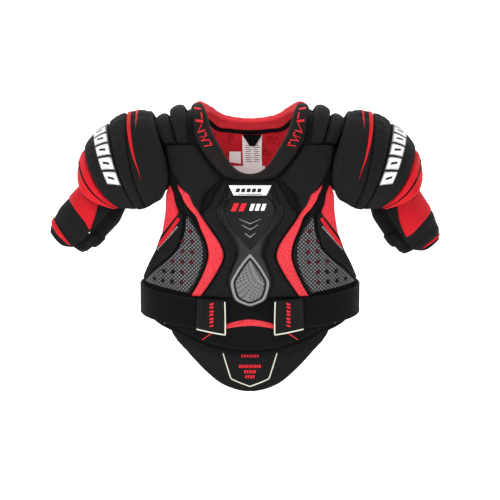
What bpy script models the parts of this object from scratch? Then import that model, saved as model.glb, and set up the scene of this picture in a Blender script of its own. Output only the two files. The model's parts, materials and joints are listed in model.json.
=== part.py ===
"""Ice hockey shoulder pads for an adult: a padded vest, floating shoulder caps, upper-arm guards and a belly pad.

Metres, +Z up, the wearer faces -Y and +X is the wearer's left. The origin is on the midline, inside
the base of the neck, level with the seat of the shoulders.
"""

import math

import bmesh
import bpy
from mathutils import Matrix, Vector

# The face of the vest: a superellipse in plan that closes over the shoulders as a dome.
HALF_WIDTH = 0.182
FRONT_DEPTH = 0.119
BACK_DEPTH = 0.112
ARMPIT_Z = -0.095
SHOULDER_Z = 0.050
PLAN_POWER = 2.4
SLOPE_POWER = 3.5
DOME_POWER = 3.0

# Layers, as distance out of the vest's face.
LINER = (-0.0140, -0.0050)
PAD = (-0.0040, 0.0050)
THIN_PAD = (-0.0024, 0.0012)
STRAP = (0.0020, 0.0044)
TAB = (0.0056, 0.0088)
COLLAR = (-0.0140, 0.0050)
PLATE = (0.0062, 0.0092)
TRIM_GAP = 0.0017

# The shoulder cap, as arches from its front edge over the top to its back edge.
CAP_SWEEP = math.radians(28)
CAP_FOAM = (-0.0090, 0.0)
CAP_BAND = (-0.0090, 0.0030)
CAP_LINER = (-0.0132, -0.0105)

# The upper-arm guard, a barrel round a straight axis that leaves the cap.
ARM_START = Vector((0.226, 0.0, -0.099))
ARM_LENGTH = 0.124
ARM_FALL = math.radians(48)
ARM_TURN = {1: math.radians(8), -1: math.radians(-2)}
ARM_PIVOT = Vector((0.258, 0.0, -0.070))
ARM_RADII = [(0.0, 0.040), (0.30, 0.049), (0.65, 0.049), (0.85, 0.044), (1.0, 0.036)]
ARM_SHELL = (-0.0090, 0.0)

BLACK = (0.018, 0.018, 0.020)
CHARCOAL = (0.035, 0.035, 0.038)
GREY = (0.16, 0.16, 0.17)
RED = (0.72, 0.03, 0.05)
WHITE = (0.85, 0.85, 0.84)

SIDES = {"left": 1, "right": -1}


def finish(name, colour, roughness=0.8, metallic=0.0):
    """A plain material of one colour."""
    made = bpy.data.materials.new(name)
    made.use_nodes = True
    shader = made.node_tree.nodes["Principled BSDF"]
    shader.inputs["Base Color"].default_value = (*colour, 1.0)
    shader.inputs["Roughness"].default_value = roughness
    shader.inputs["Metallic"].default_value = metallic
    return made


def along(points, t):
    """The point at t from 0 to 1 on a Catmull-Rom curve through the points."""
    spans = len(points) - 1
    place = min(max(t, 0.0), 1.0) * spans
    i = min(int(place), spans - 1)
    f = place - i
    at = [Vector(points[min(max(k, 0), spans)]) for k in (i - 1, i, i + 1, i + 2)]
    if i == 0:
        at[0] = 2 * at[1] - at[2]
    if i == spans - 1:
        at[3] = 2 * at[2] - at[1]
    return 0.5 * (
        2 * at[1]
        + (at[2] - at[0]) * f
        + (2 * at[0] - 5 * at[1] + 4 * at[2] - at[3]) * f * f
        + (3 * at[1] - at[0] - 3 * at[2] + at[3]) * f**3
    )


def mirrored(points):
    """The half curve and its mirror image across X, from the far end to the near one."""
    return [(-x, *rest) for x, *rest in reversed(points)][:-1] + list(points)


def crest(x):
    """How high the dome stands at x on the shoulder line, from 0 to 1."""
    return (1 - min(abs(x) / HALF_WIDTH, 0.999) ** SLOPE_POWER) ** (1 / DOME_POWER)


def front(x, z):
    """(x, run) of the point at height z on the front. Run is metres below the armpits if it is negative."""
    if z <= ARMPIT_Z:
        return (x, z - ARMPIT_Z)
    share = (z - ARMPIT_Z) / (SHOULDER_Z - ARMPIT_Z) / crest(x)
    return (x, math.asin(min(share, 1.0)) / (math.pi / 2))


def rear(x, z):
    """(x, run) of the point at height z on the back: run is 1 on the shoulder and 2 at the armpits."""
    return (x, 2 - front(x, z)[1])


def shoulder(x):
    """(x, run) of a point on the shoulder line."""
    return (x, 1.0)


def vest_point(x, run):
    """The point of the vest's face at x and run."""
    across = min(abs(x) / HALF_WIDTH, 0.999)
    if 0 < run < 2:
        rise = crest(x) * math.sin(min(run, 2 - run) * math.pi / 2)
        z = ARMPIT_Z + rise * (SHOULDER_Z - ARMPIT_Z)
    else:
        rise = 0.0
        z = ARMPIT_Z + min(run, 2 - run)
    fill = (1 - rise**DOME_POWER) ** (PLAN_POWER / SLOPE_POWER) - across**PLAN_POWER
    depth = max(fill, 0.0) ** (1 / PLAN_POWER)
    return Vector((x, -FRONT_DEPTH * depth if run <= 1 else BACK_DEPTH * depth, z))


def girth_point(turn, z):
    """The point of the vest's wall at a turn round it in degrees: 0 in front, 90 at the side, 180 behind."""
    angle = math.radians(turn)
    power = 2 / PLAN_POWER
    depth = FRONT_DEPTH if math.cos(angle) > 0 else BACK_DEPTH
    x = HALF_WIDTH * abs(math.sin(angle)) ** power
    y = depth * abs(math.cos(angle)) ** power
    return Vector((x, -y if math.cos(angle) > 0 else y, z))


def between(first, last):
    """A patch of the vest's face between two curves of (x, run) points."""
    return lambda u, v: vest_point(*along(first, v).lerp(along(last, v), u))


def cap_arch(ring):
    """(front end, top, half depth, bulge) of the cap's arch at a ring from 0, by the neck, to 4, the rim."""
    front_end = along(
        [(0.147, -0.106), (0.165, -0.119), (0.181, -0.123), (0.211, -0.122), (0.217, -0.124)],
        ring / 4,
    )
    top = along(
        [(0.163, 0.036), (0.203, 0.034), (0.234, 0.019), (0.276, -0.020), (0.290, -0.072)],
        ring / 4,
    )
    depth = along([(0.108, 0), (0.111, 0), (0.108, 0), (0.096, 0), (0.086, 0)], ring / 4)[0]
    bulge = along([(-0.019, 0), (0.008, 0), (0.008, 0), (0.011, 0), (0.024, 0)], ring / 4)[0]
    return front_end, top, depth, bulge


def cap_point(ring, sweep):
    """The cap's outer face at a ring, and at a sweep from 0 at the front edge to 1 at the back edge."""
    front_end, top, depth, bulge = cap_arch(ring)
    angle = -CAP_SWEEP + sweep * (math.pi + 2 * CAP_SWEEP)
    rise = (math.sin(angle) + math.sin(CAP_SWEEP)) / (1 + math.sin(CAP_SWEEP))
    x, z = front_end.lerp(top, rise)
    return Vector((x + bulge * math.sin(math.pi * max(rise, 0) ** 0.65), -depth * math.cos(angle), z))


def cap_patch(first, last, start=0.0, end=1.0):
    return lambda u, v: cap_point(first + (last - first) * u, start + (end - start) * v)


def arm_axes():
    """The arm's direction, and the direction across it that points out and up."""
    down = Vector((math.cos(ARM_FALL), 0, -math.sin(ARM_FALL)))
    out = Vector((math.sin(ARM_FALL), 0, math.cos(ARM_FALL)))
    return down, out


def arm_point(share, turn):
    """The arm guard's outer face: share of its length, and turn in degrees, 0 outside and 90 in front."""
    down, out = arm_axes()
    radius = 0.0
    for (s0, r0), (s1, r1) in zip(ARM_RADII, ARM_RADII[1:]):
        if s0 <= share <= s1 or (s1 == 1.0 and share > 1.0):
            f = (share - s0) / (s1 - s0)
            radius = r0 + (r1 - r0) * (1 - math.cos(math.pi * f)) / 2
            break
    angle = math.radians(turn)
    across = out * math.cos(angle) + Vector((0, -1, 0)) * math.sin(angle)
    return ARM_START + down * (ARM_LENGTH * share) + across * radius


def arm_patch(start, end, first, last):
    return lambda u, v: arm_point(start + (end - start) * u, first + (last - first) * v)


def normal_at(place, u, v, core):
    """The unit normal of a patch, pointing away from the core point."""
    step = 0.01
    u0, u1, v0, v1 = max(u - step, 0), min(u + step, 1), max(v - step, 0), min(v + step, 1)
    made = (place(u1, v) - place(u0, v)).cross(place(u, v1) - place(u, v0)).normalized()
    return made if made.dot(place(u, v) - core) > 0 else -made


def swell(share):
    """A pad's fullness across it: 0 at both edges, 1 over the middle."""
    return math.sqrt(max(1 - abs(2 * share - 1) ** 4, 0.0))


def slab(name, place, layer, cells, material, core, side=1, rim=1.0, turn=0.0):
    """A sheet of the layer's thickness on a patch, thinned to the rim's share at its edges."""
    bm = bmesh.new()
    u_of = bm.verts.layers.float.new("u")
    v_of = bm.verts.layers.float.new("v")
    bmesh.ops.create_grid(bm, x_segments=cells[0], y_segments=cells[1], size=0.5)
    for vert in bm.verts:
        vert[u_of] = vert.co.x + 0.5
        vert[v_of] = vert.co.y + 0.5
    lifted = bmesh.ops.extrude_face_region(bm, geom=bm.faces[:])
    outer = {item for item in lifted["geom"] if isinstance(item, bmesh.types.BMVert)}
    for vert in bm.verts:
        u, v = vert[u_of], vert[v_of]
        lift = layer[0]
        if vert in outer:
            lift += (layer[1] - layer[0]) * (rim + (1 - rim) * swell(u) * swell(v))
        vert.co = place(u, v) + normal_at(place, u, v, core) * lift
    if turn:
        bmesh.ops.rotate(bm, cent=ARM_PIVOT, matrix=Matrix.Rotation(turn, 3, "Y"), verts=bm.verts)
    if side < 0:
        bmesh.ops.scale(bm, vec=(-1, 1, 1), verts=bm.verts)
    return add(name, bm, material)


def add(name, bm, material):
    """An object from the mesh, with its faces turned outwards."""
    bmesh.ops.recalc_face_normals(bm, faces=bm.faces)
    if bm.calc_volume(signed=True) < 0:
        bmesh.ops.reverse_faces(bm, faces=bm.faces)
    mesh = bpy.data.meshes.new(name)
    bm.to_mesh(mesh)
    bm.free()
    made = bpy.data.objects.new(name, mesh)
    made.data.materials.append(material)
    bpy.context.scene.collection.objects.link(made)
    mesh.shade_smooth()
    mesh.set_sharp_from_angle(angle=math.radians(35))
    return made


VEST_CORE = Vector((0, 0, -0.2))
NECK_CORE = Vector((0, 0, -0.12))
CAP_CORE = Vector((0.205, 0, -0.075))
ARM_CORE = ARM_START + arm_axes()[0] * ARM_LENGTH / 2


def build_liners():
    """The foam vest: a front half and a back half that meet on the shoulder line, and the neck's collars."""
    collar_inner = [
        front(0.0, -0.061), front(0.017, -0.057), front(0.031, -0.045), front(0.045, -0.023),
        front(0.056, -0.003), front(0.066, 0.020), shoulder(0.077),
    ]
    collar_outer = [
        front(0.0, -0.074), front(0.034, -0.069), front(0.054, -0.056), front(0.072, -0.034),
        front(0.085, -0.014), front(0.092, 0.004), shoulder(0.102),
    ]
    liner_neck = [
        front(0.0, -0.0760), front(0.035, -0.0710), front(0.056, -0.0580), front(0.0745, -0.0360),
        front(0.0875, -0.0160), front(0.0945, 0.0020), shoulder(0.104),
    ]
    liner_hem = [
        front(0.0, -0.354), front(0.078, -0.341), front(0.163, -0.306), front(0.176, -0.250),
        front(0.145, -0.178), front(0.134, -0.112), shoulder(0.152),
    ]
    front_liner = between(mirrored(liner_neck), mirrored(liner_hem))
    black = finish("liner_nylon", BLACK)
    slab("front_liner", front_liner, LINER, (6, 32), black, VEST_CORE)
    collar = between(mirrored(collar_inner), mirrored(collar_outer))
    slab("front_collar", collar, COLLAR, (2, 28), finish("collar_neoprene", CHARCOAL), NECK_CORE, rim=0.5)

    back_top = [
        rear(0.0, 0.021), rear(0.026, 0.023), rear(0.050, 0.031), (0.067, 1.16), (0.077, 1.014),
    ]
    back_low = [
        rear(0.0, -0.004), rear(0.036, 0.000), rear(0.062, 0.008), (0.086, 1.22), (0.102, 1.014),
    ]
    rear_liner_neck = [
        rear(0.0, -0.0062), rear(0.037, -0.0022), rear(0.064, 0.0056), (0.0883, 1.225), (0.104, 1.014),
    ]
    rear_liner_hem = [
        rear(0.0, -0.330), rear(0.100, -0.312), rear(0.166, -0.262), rear(0.134, -0.150), (0.152, 1.014),
    ]
    back_liner = between(mirrored(rear_liner_neck), mirrored(rear_liner_hem))
    slab("back_liner", back_liner, LINER, (6, 28), finish("back_liner_nylon", BLACK), VEST_CORE)
    back_collar = between(mirrored(back_top), mirrored(back_low))
    slab("back_collar", back_collar, COLLAR, (2, 24), finish("collar_lining", RED), NECK_CORE, rim=0.5)


def build_front_panels():
    """The padded and thin panels on the vest's front."""
    chest_inner = [front(0.090, -0.018), front(0.077, -0.038), front(0.059, -0.060), front(0.043, -0.077)]
    chest_outer = [
        front(0.136, -0.020), front(0.131, -0.045), front(0.117, -0.070), front(0.097, -0.100),
        front(0.077, -0.120),
    ]
    centre_half = [
        front(0.041, -0.079), front(0.074, -0.126), front(0.060, -0.151), front(0.041, -0.180),
        front(0.041, -0.200), front(0.064, -0.238), front(0.081, -0.262),
    ]
    accent_inner = [
        front(0.117, -0.076), front(0.098, -0.105), front(0.078, -0.134), front(0.052, -0.170),
        front(0.047, -0.200), front(0.070, -0.238), front(0.087, -0.262),
    ]
    accent_outer = [
        front(0.120, -0.079), front(0.104, -0.110), front(0.087, -0.140), front(0.069, -0.168),
        front(0.067, -0.195), front(0.083, -0.232), front(0.099, -0.262),
    ]
    mesh_inner = [
        front(0.099, -0.133), front(0.080, -0.165), front(0.078, -0.192), front(0.092, -0.222),
        front(0.107, -0.258),
    ]
    mesh_outer = [
        front(0.103, -0.133), front(0.110, -0.172), front(0.128, -0.203), front(0.152, -0.226),
        front(0.170, -0.248),
    ]
    wing_inner = [
        front(0.112, -0.137), front(0.115, -0.155), front(0.131, -0.190), front(0.154, -0.217),
        front(0.173, -0.241),
    ]
    wing_outer = [
        front(0.114, -0.134), front(0.133, -0.160), front(0.152, -0.190), front(0.165, -0.214),
        front(0.175, -0.239),
    ]
    gusset_inner = [front(0.125, -0.084), front(0.118, -0.108), front(0.118, -0.128), front(0.134, -0.154)]
    gusset_outer = [front(0.128, -0.084), front(0.133, -0.108), front(0.135, -0.130), front(0.140, -0.158)]
    centre = between([(-x, run) for x, run in centre_half], centre_half)
    slab("centre_pad", centre, PAD, (6, 12), finish("centre_pad_neoprene", BLACK), VEST_CORE, rim=0.5)
    for name, side in SIDES.items():
        slab(
            f"{name}_chest_pad", between(chest_inner, chest_outer), PAD, (4, 6),
            finish(f"{name}_chest_pad_neoprene", CHARCOAL), VEST_CORE, side, rim=0.5,
        )
        slab(
            f"{name}_chest_accent", between(accent_inner, accent_outer), THIN_PAD, (2, 12),
            finish(f"{name}_accent_fabric", RED), VEST_CORE, side,
        )
        slab(
            f"{name}_side_mesh", between(mesh_inner, mesh_outer), THIN_PAD, (3, 8),
            finish(f"{name}_mesh_coating", GREY, 0.5), VEST_CORE, side,
        )
        slab(
            f"{name}_side_wing", between(wing_inner, wing_outer), THIN_PAD, (2, 7),
            finish(f"{name}_wing_fabric", BLACK), VEST_CORE, side,
        )
        slab(
            f"{name}_red_gusset", between(gusset_inner, gusset_outer), THIN_PAD, (2, 4),
            finish(f"{name}_gusset_fabric", RED), VEST_CORE, side,
        )
    arc_top = [front(0.0, -0.298), front(0.034, -0.304), front(0.062, -0.316), front(0.088, -0.331)]
    arc_low = [front(0.0, -0.308), front(0.034, -0.313), front(0.062, -0.322), front(0.086, -0.335)]
    arc = between(mirrored(arc_top), mirrored(arc_low))
    slab("hem_arc", arc, (-0.0040, -0.0022), (1, 12), finish("hem_arc_fabric", RED), VEST_CORE)


def build_sternum_guard():
    """The moulded guard over the breastbone: plate, raised shield, badge, frame and perforated insert."""
    plate = [
        front(0.033, -0.079), front(0.050, -0.118), front(0.041, -0.142), front(0.022, -0.178),
        front(0.022, -0.198), front(0.033, -0.230), front(0.025, -0.264), front(0.004, -0.276),
    ]
    shield = [
        front(0.026, -0.100), front(0.036, -0.118), front(0.032, -0.136), front(0.018, -0.160),
        front(0.003, -0.177),
    ]
    badge = [front(0.030, -0.082), front(0.022, -0.096)]
    frame = [
        front(0.002, -0.186), front(0.016, -0.205), front(0.028, -0.231), front(0.021, -0.260),
        front(0.003, -0.271),
    ]
    insert = [
        front(0.002, -0.198), front(0.012, -0.213), front(0.021, -0.233), front(0.015, -0.256),
        front(0.003, -0.264),
    ]
    above = PLATE[1] + 0.0008
    for name, edge, layer, cells, colour in (
        ("sternum_plate", plate, PLATE, (6, 14), BLACK),
        ("sternum_shield", shield, (above, above + 0.0030), (4, 8), BLACK),
        ("sternum_badge", badge, (above, above + 0.0020), (4, 2), WHITE),
        ("sternum_frame", frame, (above, above + 0.0018), (4, 10), GREY),
        ("sternum_insert", insert, (above + 0.0026, above + 0.0050), (4, 8), GREY),
    ):
        patch = between([(-x, run) for x, run in edge], edge)
        slab(name, patch, layer, cells, finish(f"{name}_plastic", colour, 0.35), VEST_CORE)


def build_back():
    """The pads behind, and the spine plate with its flat outer face."""
    blade_inner = [rear(0.030, -0.030), rear(0.032, -0.090), rear(0.034, -0.150), rear(0.030, -0.196)]
    blade_outer = [rear(0.100, -0.024), rear(0.124, -0.080), rear(0.118, -0.140), rear(0.092, -0.190)]
    for name, side in SIDES.items():
        slab(
            f"{name}_blade_pad", between(blade_inner, blade_outer), PAD, (4, 8),
            finish(f"{name}_blade_neoprene", CHARCOAL), VEST_CORE, side, rim=0.5,
        )
    lower = [rear(0.070, -0.212), rear(0.094, -0.236), rear(0.088, -0.272), rear(0.050, -0.300)]
    patch = between([(-x, run) for x, run in lower], lower)
    slab("lower_back_pad", patch, PAD, (6, 5), finish("lower_back_neoprene", CHARCOAL), VEST_CORE, rim=0.5)

    low_y, high_y = BACK_DEPTH + 0.0062, BACK_DEPTH + 0.0150
    outline = [
        (0.012, -0.096), (0.023, -0.110), (0.024, -0.170), (0.019, -0.200), (0.010, -0.206),
    ]
    bm = bmesh.new()
    rim = [bm.verts.new((x, low_y, z)) for x, z in outline]
    rim += [bm.verts.new((-x, low_y, z)) for x, z in reversed(outline)]
    base = bm.faces.new(rim)
    top = bmesh.ops.extrude_face_region(bm, geom=[base])
    for item in top["geom"]:
        if isinstance(item, bmesh.types.BMVert):
            item.co.y = high_y
            item.co.x *= 0.88
            item.co.z = -0.150 + (item.co.z + 0.150) * 0.95
    add("spine_plate", bm, finish("spine_plate_plastic", BLACK, 0.4))


def build_belly():
    """The belly pad, which slides up behind the front liner's hem."""
    edge = [
        front(0.120, -0.240), front(0.140, -0.290), front(0.146, -0.314), front(0.126, -0.334),
        front(0.096, -0.362), front(0.066, -0.386), front(0.036, -0.409), front(0.004, -0.422),
    ]
    patch = between([(-x, run) for x, run in edge], edge)
    slab("belly_pad", patch, (-0.0260, -0.0185), (10, 12), finish("belly_pad_fabric", CHARCOAL), VEST_CORE)


def build_straps():
    """The elastic side straps, sewn to the back, and the hook tabs that close them on the front."""
    for name, side in SIDES.items():
        def strap(u, v):
            turn = 24 + (150 - 24) * v
            sag = 0.014 * math.cos(math.radians(min(turn, 90))) ** 2
            return girth_point(turn, -0.251 - sag - 0.052 * u)

        slab(
            f"{name}_side_strap", strap, STRAP, (2, 22), finish(f"{name}_strap_elastic", BLACK),
            VEST_CORE, side,
        )
        tab_inner = [front(0.039, -0.266), front(0.038, -0.327)]
        tab_outer = [front(0.085, -0.264), front(0.087, -0.317)]
        slab(
            f"{name}_strap_tab", between(tab_inner, tab_outer), TAB, (4, 3),
            finish(f"{name}_tab_webbing", CHARCOAL), VEST_CORE, side,
        )


def build_neck_tags():
    """The care label and the hanging loop, sewn under the back collar."""
    inner = [rear(-0.014, -0.010), rear(-0.012, -0.074)]
    outer = [rear(0.022, -0.010), rear(0.022, -0.074)]
    slab("care_label", between(inner, outer), (-0.0165, -0.0153), (2, 5), finish("label_satin", WHITE), NECK_CORE)
    inner = [rear(-0.013, -0.009), rear(-0.001, -0.030)]
    outer = [rear(0.021, -0.009), rear(0.009, -0.030)]
    slab("hang_loop", between(inner, outer), (-0.0202, -0.0178), (2, 3), finish("loop_webbing", BLACK), NECK_CORE)


def build_floats():
    """Two padded floats on each shoulder, between the collar and the cap."""
    low = -0.014
    edges = {"inner": ((0.099, 0.108), (0.118, 0.134)), "outer": ((0.1205, 0.1365), (0.1400, 0.1590))}
    for name, side in SIDES.items():
        for which, ((low_a, top_a), (low_b, top_b)) in edges.items():
            near = [front(low_a, low), shoulder(top_a), rear(low_a, low)]
            far = [front(low_b, low), shoulder(top_b), rear(low_b, low)]

            def patch(u, v, near=near, far=far):
                bend = math.sin(math.pi * v)
                x = near[0][0] + (near[1][0] - near[0][0]) * bend
                x_far = far[0][0] + (far[1][0] - far[0][0]) * bend
                start = near[0][1] + (far[0][1] - near[0][1]) * u
                run = start + (2 - 2 * start) * v
                return vest_point(x + (x_far - x) * u, run)

            slab(
                f"{name}_{which}_float", patch, (-0.0026, 0.0080), (2, 14),
                finish(f"{name}_{which}_float_neoprene", CHARCOAL), NECK_CORE, side, rim=0.6,
            )


def build_caps():
    """The shoulder caps: moulded foam in four bands over a hard liner."""
    for name, side in SIDES.items():
        for part, rings, layer, cells, colour in (
            ("cap_panel", (0.0, 1.10), CAP_FOAM, (3, 18), CHARCOAL),
            ("cap_band", (1.15, 2.03), CAP_BAND, (2, 18), CHARCOAL),
            ("cap_shell", (2.09, 3.03), CAP_FOAM, (2, 18), BLACK),
            ("cap_rim", (3.17, 4.0), CAP_FOAM, (2, 18), RED),
            ("cap_liner", (0.25, 3.75), CAP_LINER, (6, 18), BLACK),
        ):
            slab(
                f"{name}_{part}", cap_patch(*rings), layer, cells,
                finish(f"{name}_{part}_finish", colour), CAP_CORE, side, rim=1.0,
            )


def build_arms():
    """The upper-arm guards, with their overlays, stretch sleeve, strap, hook tab and hanger."""
    for name, side in SIDES.items():
        turn = ARM_TURN[side]
        lift = ARM_SHELL[1] + TRIM_GAP
        for part, patch, layer, cells, colour in (
            ("arm_guard", arm_patch(0.0, 1.0, -112, 112), ARM_SHELL, (8, 16), BLACK),
            ("arm_panel", arm_patch(0.06, 0.56, -75, 96), (lift, lift + 0.0016), (3, 12), RED),
            ("arm_stripe", arm_patch(0.90, 0.96, -100, 100), (lift, lift + 0.0014), (1, 14), RED),
            ("arm_sleeve", arm_patch(0.04, 0.90, 117, 243), (-0.0086, -0.0062), (4, 8), BLACK),
            ("arm_strap", arm_patch(0.56, 0.76, 117, 243), (-0.0030, -0.0008), (1, 9), BLACK),
            ("arm_strap_tab", arm_patch(0.60, 0.78, -114, -80), (lift, lift + 0.0022), (1, 3), CHARCOAL),
        ):
            slab(
                f"{name}_{part}", patch, layer, cells, finish(f"{name}_{part}_finish", colour),
                ARM_CORE, side, turn=turn,
            )

        def hanger(u, v):
            low, high = Vector((0.2600, 0, -0.0580)), Vector((0.2470, 0, -0.0380))
            return low.lerp(high, u) + Vector((0, (v - 0.5) * 0.030, 0))

        slab(
            f"{name}_arm_hanger", hanger, (-0.0012, 0.0012), (2, 2),
            finish(f"{name}_hanger_elastic", BLACK), Vector((0.2, 0, -0.09)), side,
        )


def main():
    for found in list(bpy.data.objects):
        bpy.data.objects.remove(found)
    build_liners()
    build_front_panels()
    build_sternum_guard()
    build_back()
    build_belly()
    build_straps()
    build_neck_tags()
    build_floats()
    build_caps()
    build_arms()


main()
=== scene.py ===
import json
import math

import bmesh
import bpy
import numpy as np
from mathutils import Matrix, Vector
from mathutils.bvhtree import BVHTree

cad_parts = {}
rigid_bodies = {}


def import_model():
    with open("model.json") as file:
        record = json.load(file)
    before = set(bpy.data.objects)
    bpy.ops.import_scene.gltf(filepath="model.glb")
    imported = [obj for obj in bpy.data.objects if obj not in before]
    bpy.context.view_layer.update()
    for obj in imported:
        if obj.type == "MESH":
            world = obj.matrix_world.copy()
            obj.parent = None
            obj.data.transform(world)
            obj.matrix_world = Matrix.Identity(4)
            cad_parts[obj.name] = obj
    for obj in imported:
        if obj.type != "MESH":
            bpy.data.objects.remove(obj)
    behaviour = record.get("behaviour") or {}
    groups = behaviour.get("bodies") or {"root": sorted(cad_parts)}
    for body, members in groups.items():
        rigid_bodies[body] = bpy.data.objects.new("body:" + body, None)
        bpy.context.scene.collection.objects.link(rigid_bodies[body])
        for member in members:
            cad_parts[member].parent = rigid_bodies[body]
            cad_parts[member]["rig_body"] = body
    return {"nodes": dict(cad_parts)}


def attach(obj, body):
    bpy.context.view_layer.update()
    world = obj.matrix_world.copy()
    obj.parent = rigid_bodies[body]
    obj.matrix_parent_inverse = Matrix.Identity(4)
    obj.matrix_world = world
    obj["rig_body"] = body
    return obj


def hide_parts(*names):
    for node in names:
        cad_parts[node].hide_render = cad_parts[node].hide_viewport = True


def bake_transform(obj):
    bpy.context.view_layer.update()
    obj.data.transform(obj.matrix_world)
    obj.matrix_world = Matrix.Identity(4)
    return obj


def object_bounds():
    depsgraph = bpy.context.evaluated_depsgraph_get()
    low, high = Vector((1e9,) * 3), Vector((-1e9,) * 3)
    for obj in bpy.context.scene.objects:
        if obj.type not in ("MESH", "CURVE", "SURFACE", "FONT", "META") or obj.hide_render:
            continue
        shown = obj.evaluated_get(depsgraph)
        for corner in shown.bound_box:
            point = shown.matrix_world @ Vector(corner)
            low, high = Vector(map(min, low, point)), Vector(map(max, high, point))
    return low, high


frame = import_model()
cadLow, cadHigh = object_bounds()
scene = bpy.context.scene
sides = {"left": 1, "right": -1}
made = {}  # finished base pieces by name
softPieces = []  # pieces that the cloth solver fills
# metres between the points of a seam, and between the stitches of a row
seamStep, hemStep, stitchStep, longStitch, floatStitch = 0.002, 0.004, 0.0034, 0.0036, 0.0032
onCover = 0.0001  # how far a stitch stands off its cover
printBase = 0.0002  # how far a mark reaches into its cover
print("frame loaded:", len(frame["nodes"]), "nodes")

# the wearer's shape, as in the part: a rounded wall that closes over the shoulders
vest = {
    "halfWidth": 0.182, "frontDepth": 0.119, "backDepth": 0.112,
    "armpit": -0.095, "shoulder": 0.050, "plan": 2.4, "slope": 3.5, "dome": 3.0,
}
cap = {
    "frontEnd": [(0.147, -0.106), (0.165, -0.119), (0.181, -0.123), (0.211, -0.122), (0.217, -0.124)],
    "top": [(0.163, 0.036), (0.203, 0.034), (0.234, 0.019), (0.276, -0.020), (0.290, -0.072)],
    "depth": [(0.108, 0), (0.111, 0), (0.108, 0), (0.096, 0), (0.086, 0)],
    "bulge": [(-0.019, 0), (0.008, 0), (0.008, 0), (0.011, 0), (0.024, 0)],
    "sweep": math.radians(28),
}
arm = {
    "start": Vector((0.226, 0.0, -0.099)), "length": 0.124, "fall": math.radians(48),
    "turn": {1: math.radians(8), -1: math.radians(-2)}, "pivot": Vector((0.258, 0.0, -0.070)),
    "radii": [(0.0, 0.040), (0.30, 0.049), (0.65, 0.049), (0.85, 0.044), (1.0, 0.036)],
}
vestCore = Vector((0, 0, -0.2))
neckCore = Vector((0, 0, -0.12))
capCore = Vector((0.205, 0, -0.075))


def along(points, t):
    # Catmull-Rom through the points
    spans = len(points) - 1
    place = min(max(t, 0.0), 1.0) * spans
    i = min(int(place), spans - 1)
    f = place - i
    at = [Vector(points[min(max(k, 0), spans)]) for k in (i - 1, i, i + 1, i + 2)]
    if i == 0:
        at[0] = 2 * at[1] - at[2]
    if i == spans - 1:
        at[3] = 2 * at[2] - at[1]
    return 0.5 * (
        2 * at[1] + (at[2] - at[0]) * f + (2 * at[0] - 5 * at[1] + 4 * at[2] - at[3]) * f * f
        + (3 * at[1] - at[0] - 3 * at[2] + at[3]) * f**3
    )


def mirrored(points):
    return [(-x, *rest) for x, *rest in reversed(points)][:-1] + list(points)


def crest(x):
    across = min(abs(x) / vest["halfWidth"], 0.999)
    return (1 - across ** vest["slope"]) ** (1 / vest["dome"])


def front(x, z):
    # (x, run) of a point on the front at height z
    if z <= vest["armpit"]:
        return (x, z - vest["armpit"])
    share = (z - vest["armpit"]) / (vest["shoulder"] - vest["armpit"]) / crest(x)
    return (x, math.asin(min(share, 1.0)) / (math.pi / 2))


def rear(x, z):
    return (x, 2 - front(x, z)[1])


def shoulder(x):
    return (x, 1.0)


def fronts(points):
    # millimetres on the front, as (x, run)
    return [front(x / 1000, z / 1000) for x, z in points]


def rears(points):
    return [rear(x / 1000, z / 1000) for x, z in points]


def vestPoint(x, run):
    across = min(abs(x) / vest["halfWidth"], 0.999)
    if 0 < run < 2:
        rise = crest(x) * math.sin(min(run, 2 - run) * math.pi / 2)
        z = vest["armpit"] + rise * (vest["shoulder"] - vest["armpit"])
    else:
        rise = 0.0
        z = vest["armpit"] + min(run, 2 - run)
    fill = (1 - rise ** vest["dome"]) ** (vest["plan"] / vest["slope"]) - across ** vest["plan"]
    depth = max(fill, 0.0) ** (1 / vest["plan"])
    return Vector((x, -vest["frontDepth"] * depth if run <= 1 else vest["backDepth"] * depth, z))


def girthPoint(turn, z):
    angle = math.radians(turn)
    power = 2 / vest["plan"]
    ahead = math.cos(angle) > 0
    y = (vest["frontDepth"] if ahead else vest["backDepth"]) * abs(math.cos(angle)) ** power
    return Vector((vest["halfWidth"] * abs(math.sin(angle)) ** power, -y if ahead else y, z))


def capPoint(ring, sweep):
    frontEnd, top = along(cap["frontEnd"], ring / 4), along(cap["top"], ring / 4)
    depth, bulge = along(cap["depth"], ring / 4)[0], along(cap["bulge"], ring / 4)[0]
    angle = -cap["sweep"] + sweep * (math.pi + 2 * cap["sweep"])
    rise = (math.sin(angle) + math.sin(cap["sweep"])) / (1 + math.sin(cap["sweep"]))
    x, z = frontEnd.lerp(top, rise)
    return Vector((x + bulge * math.sin(math.pi * max(rise, 0) ** 0.65), -depth * math.cos(angle), z))


def armAxes():
    down = Vector((math.cos(arm["fall"]), 0, -math.sin(arm["fall"])))
    out = Vector((math.sin(arm["fall"]), 0, math.cos(arm["fall"])))
    return down, out


def armPoint(share, turn):
    # share of the guard's length; turn 0 is outside and 90 in front
    down, out = armAxes()
    radius = 0.036
    for (s0, r0), (s1, r1) in zip(arm["radii"], arm["radii"][1:]):
        if s0 <= share <= s1:
            radius = r0 + (r1 - r0) * (1 - math.cos(math.pi * (share - s0) / (s1 - s0))) / 2
            break
    angle = math.radians(turn)
    across = out * math.cos(angle) + Vector((0, -1, 0)) * math.sin(angle)
    return arm["start"] + down * (arm["length"] * share) + across * radius


armCore = arm["start"] + armAxes()[0] * arm["length"] / 2


def between(first, last, place=vestPoint):
    return lambda u, v: place(*along(first, v).lerp(along(last, v), u))


def bothSides(edge, place=vestPoint):
    return between([(-x, run) for x, run in edge], edge, place)


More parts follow.
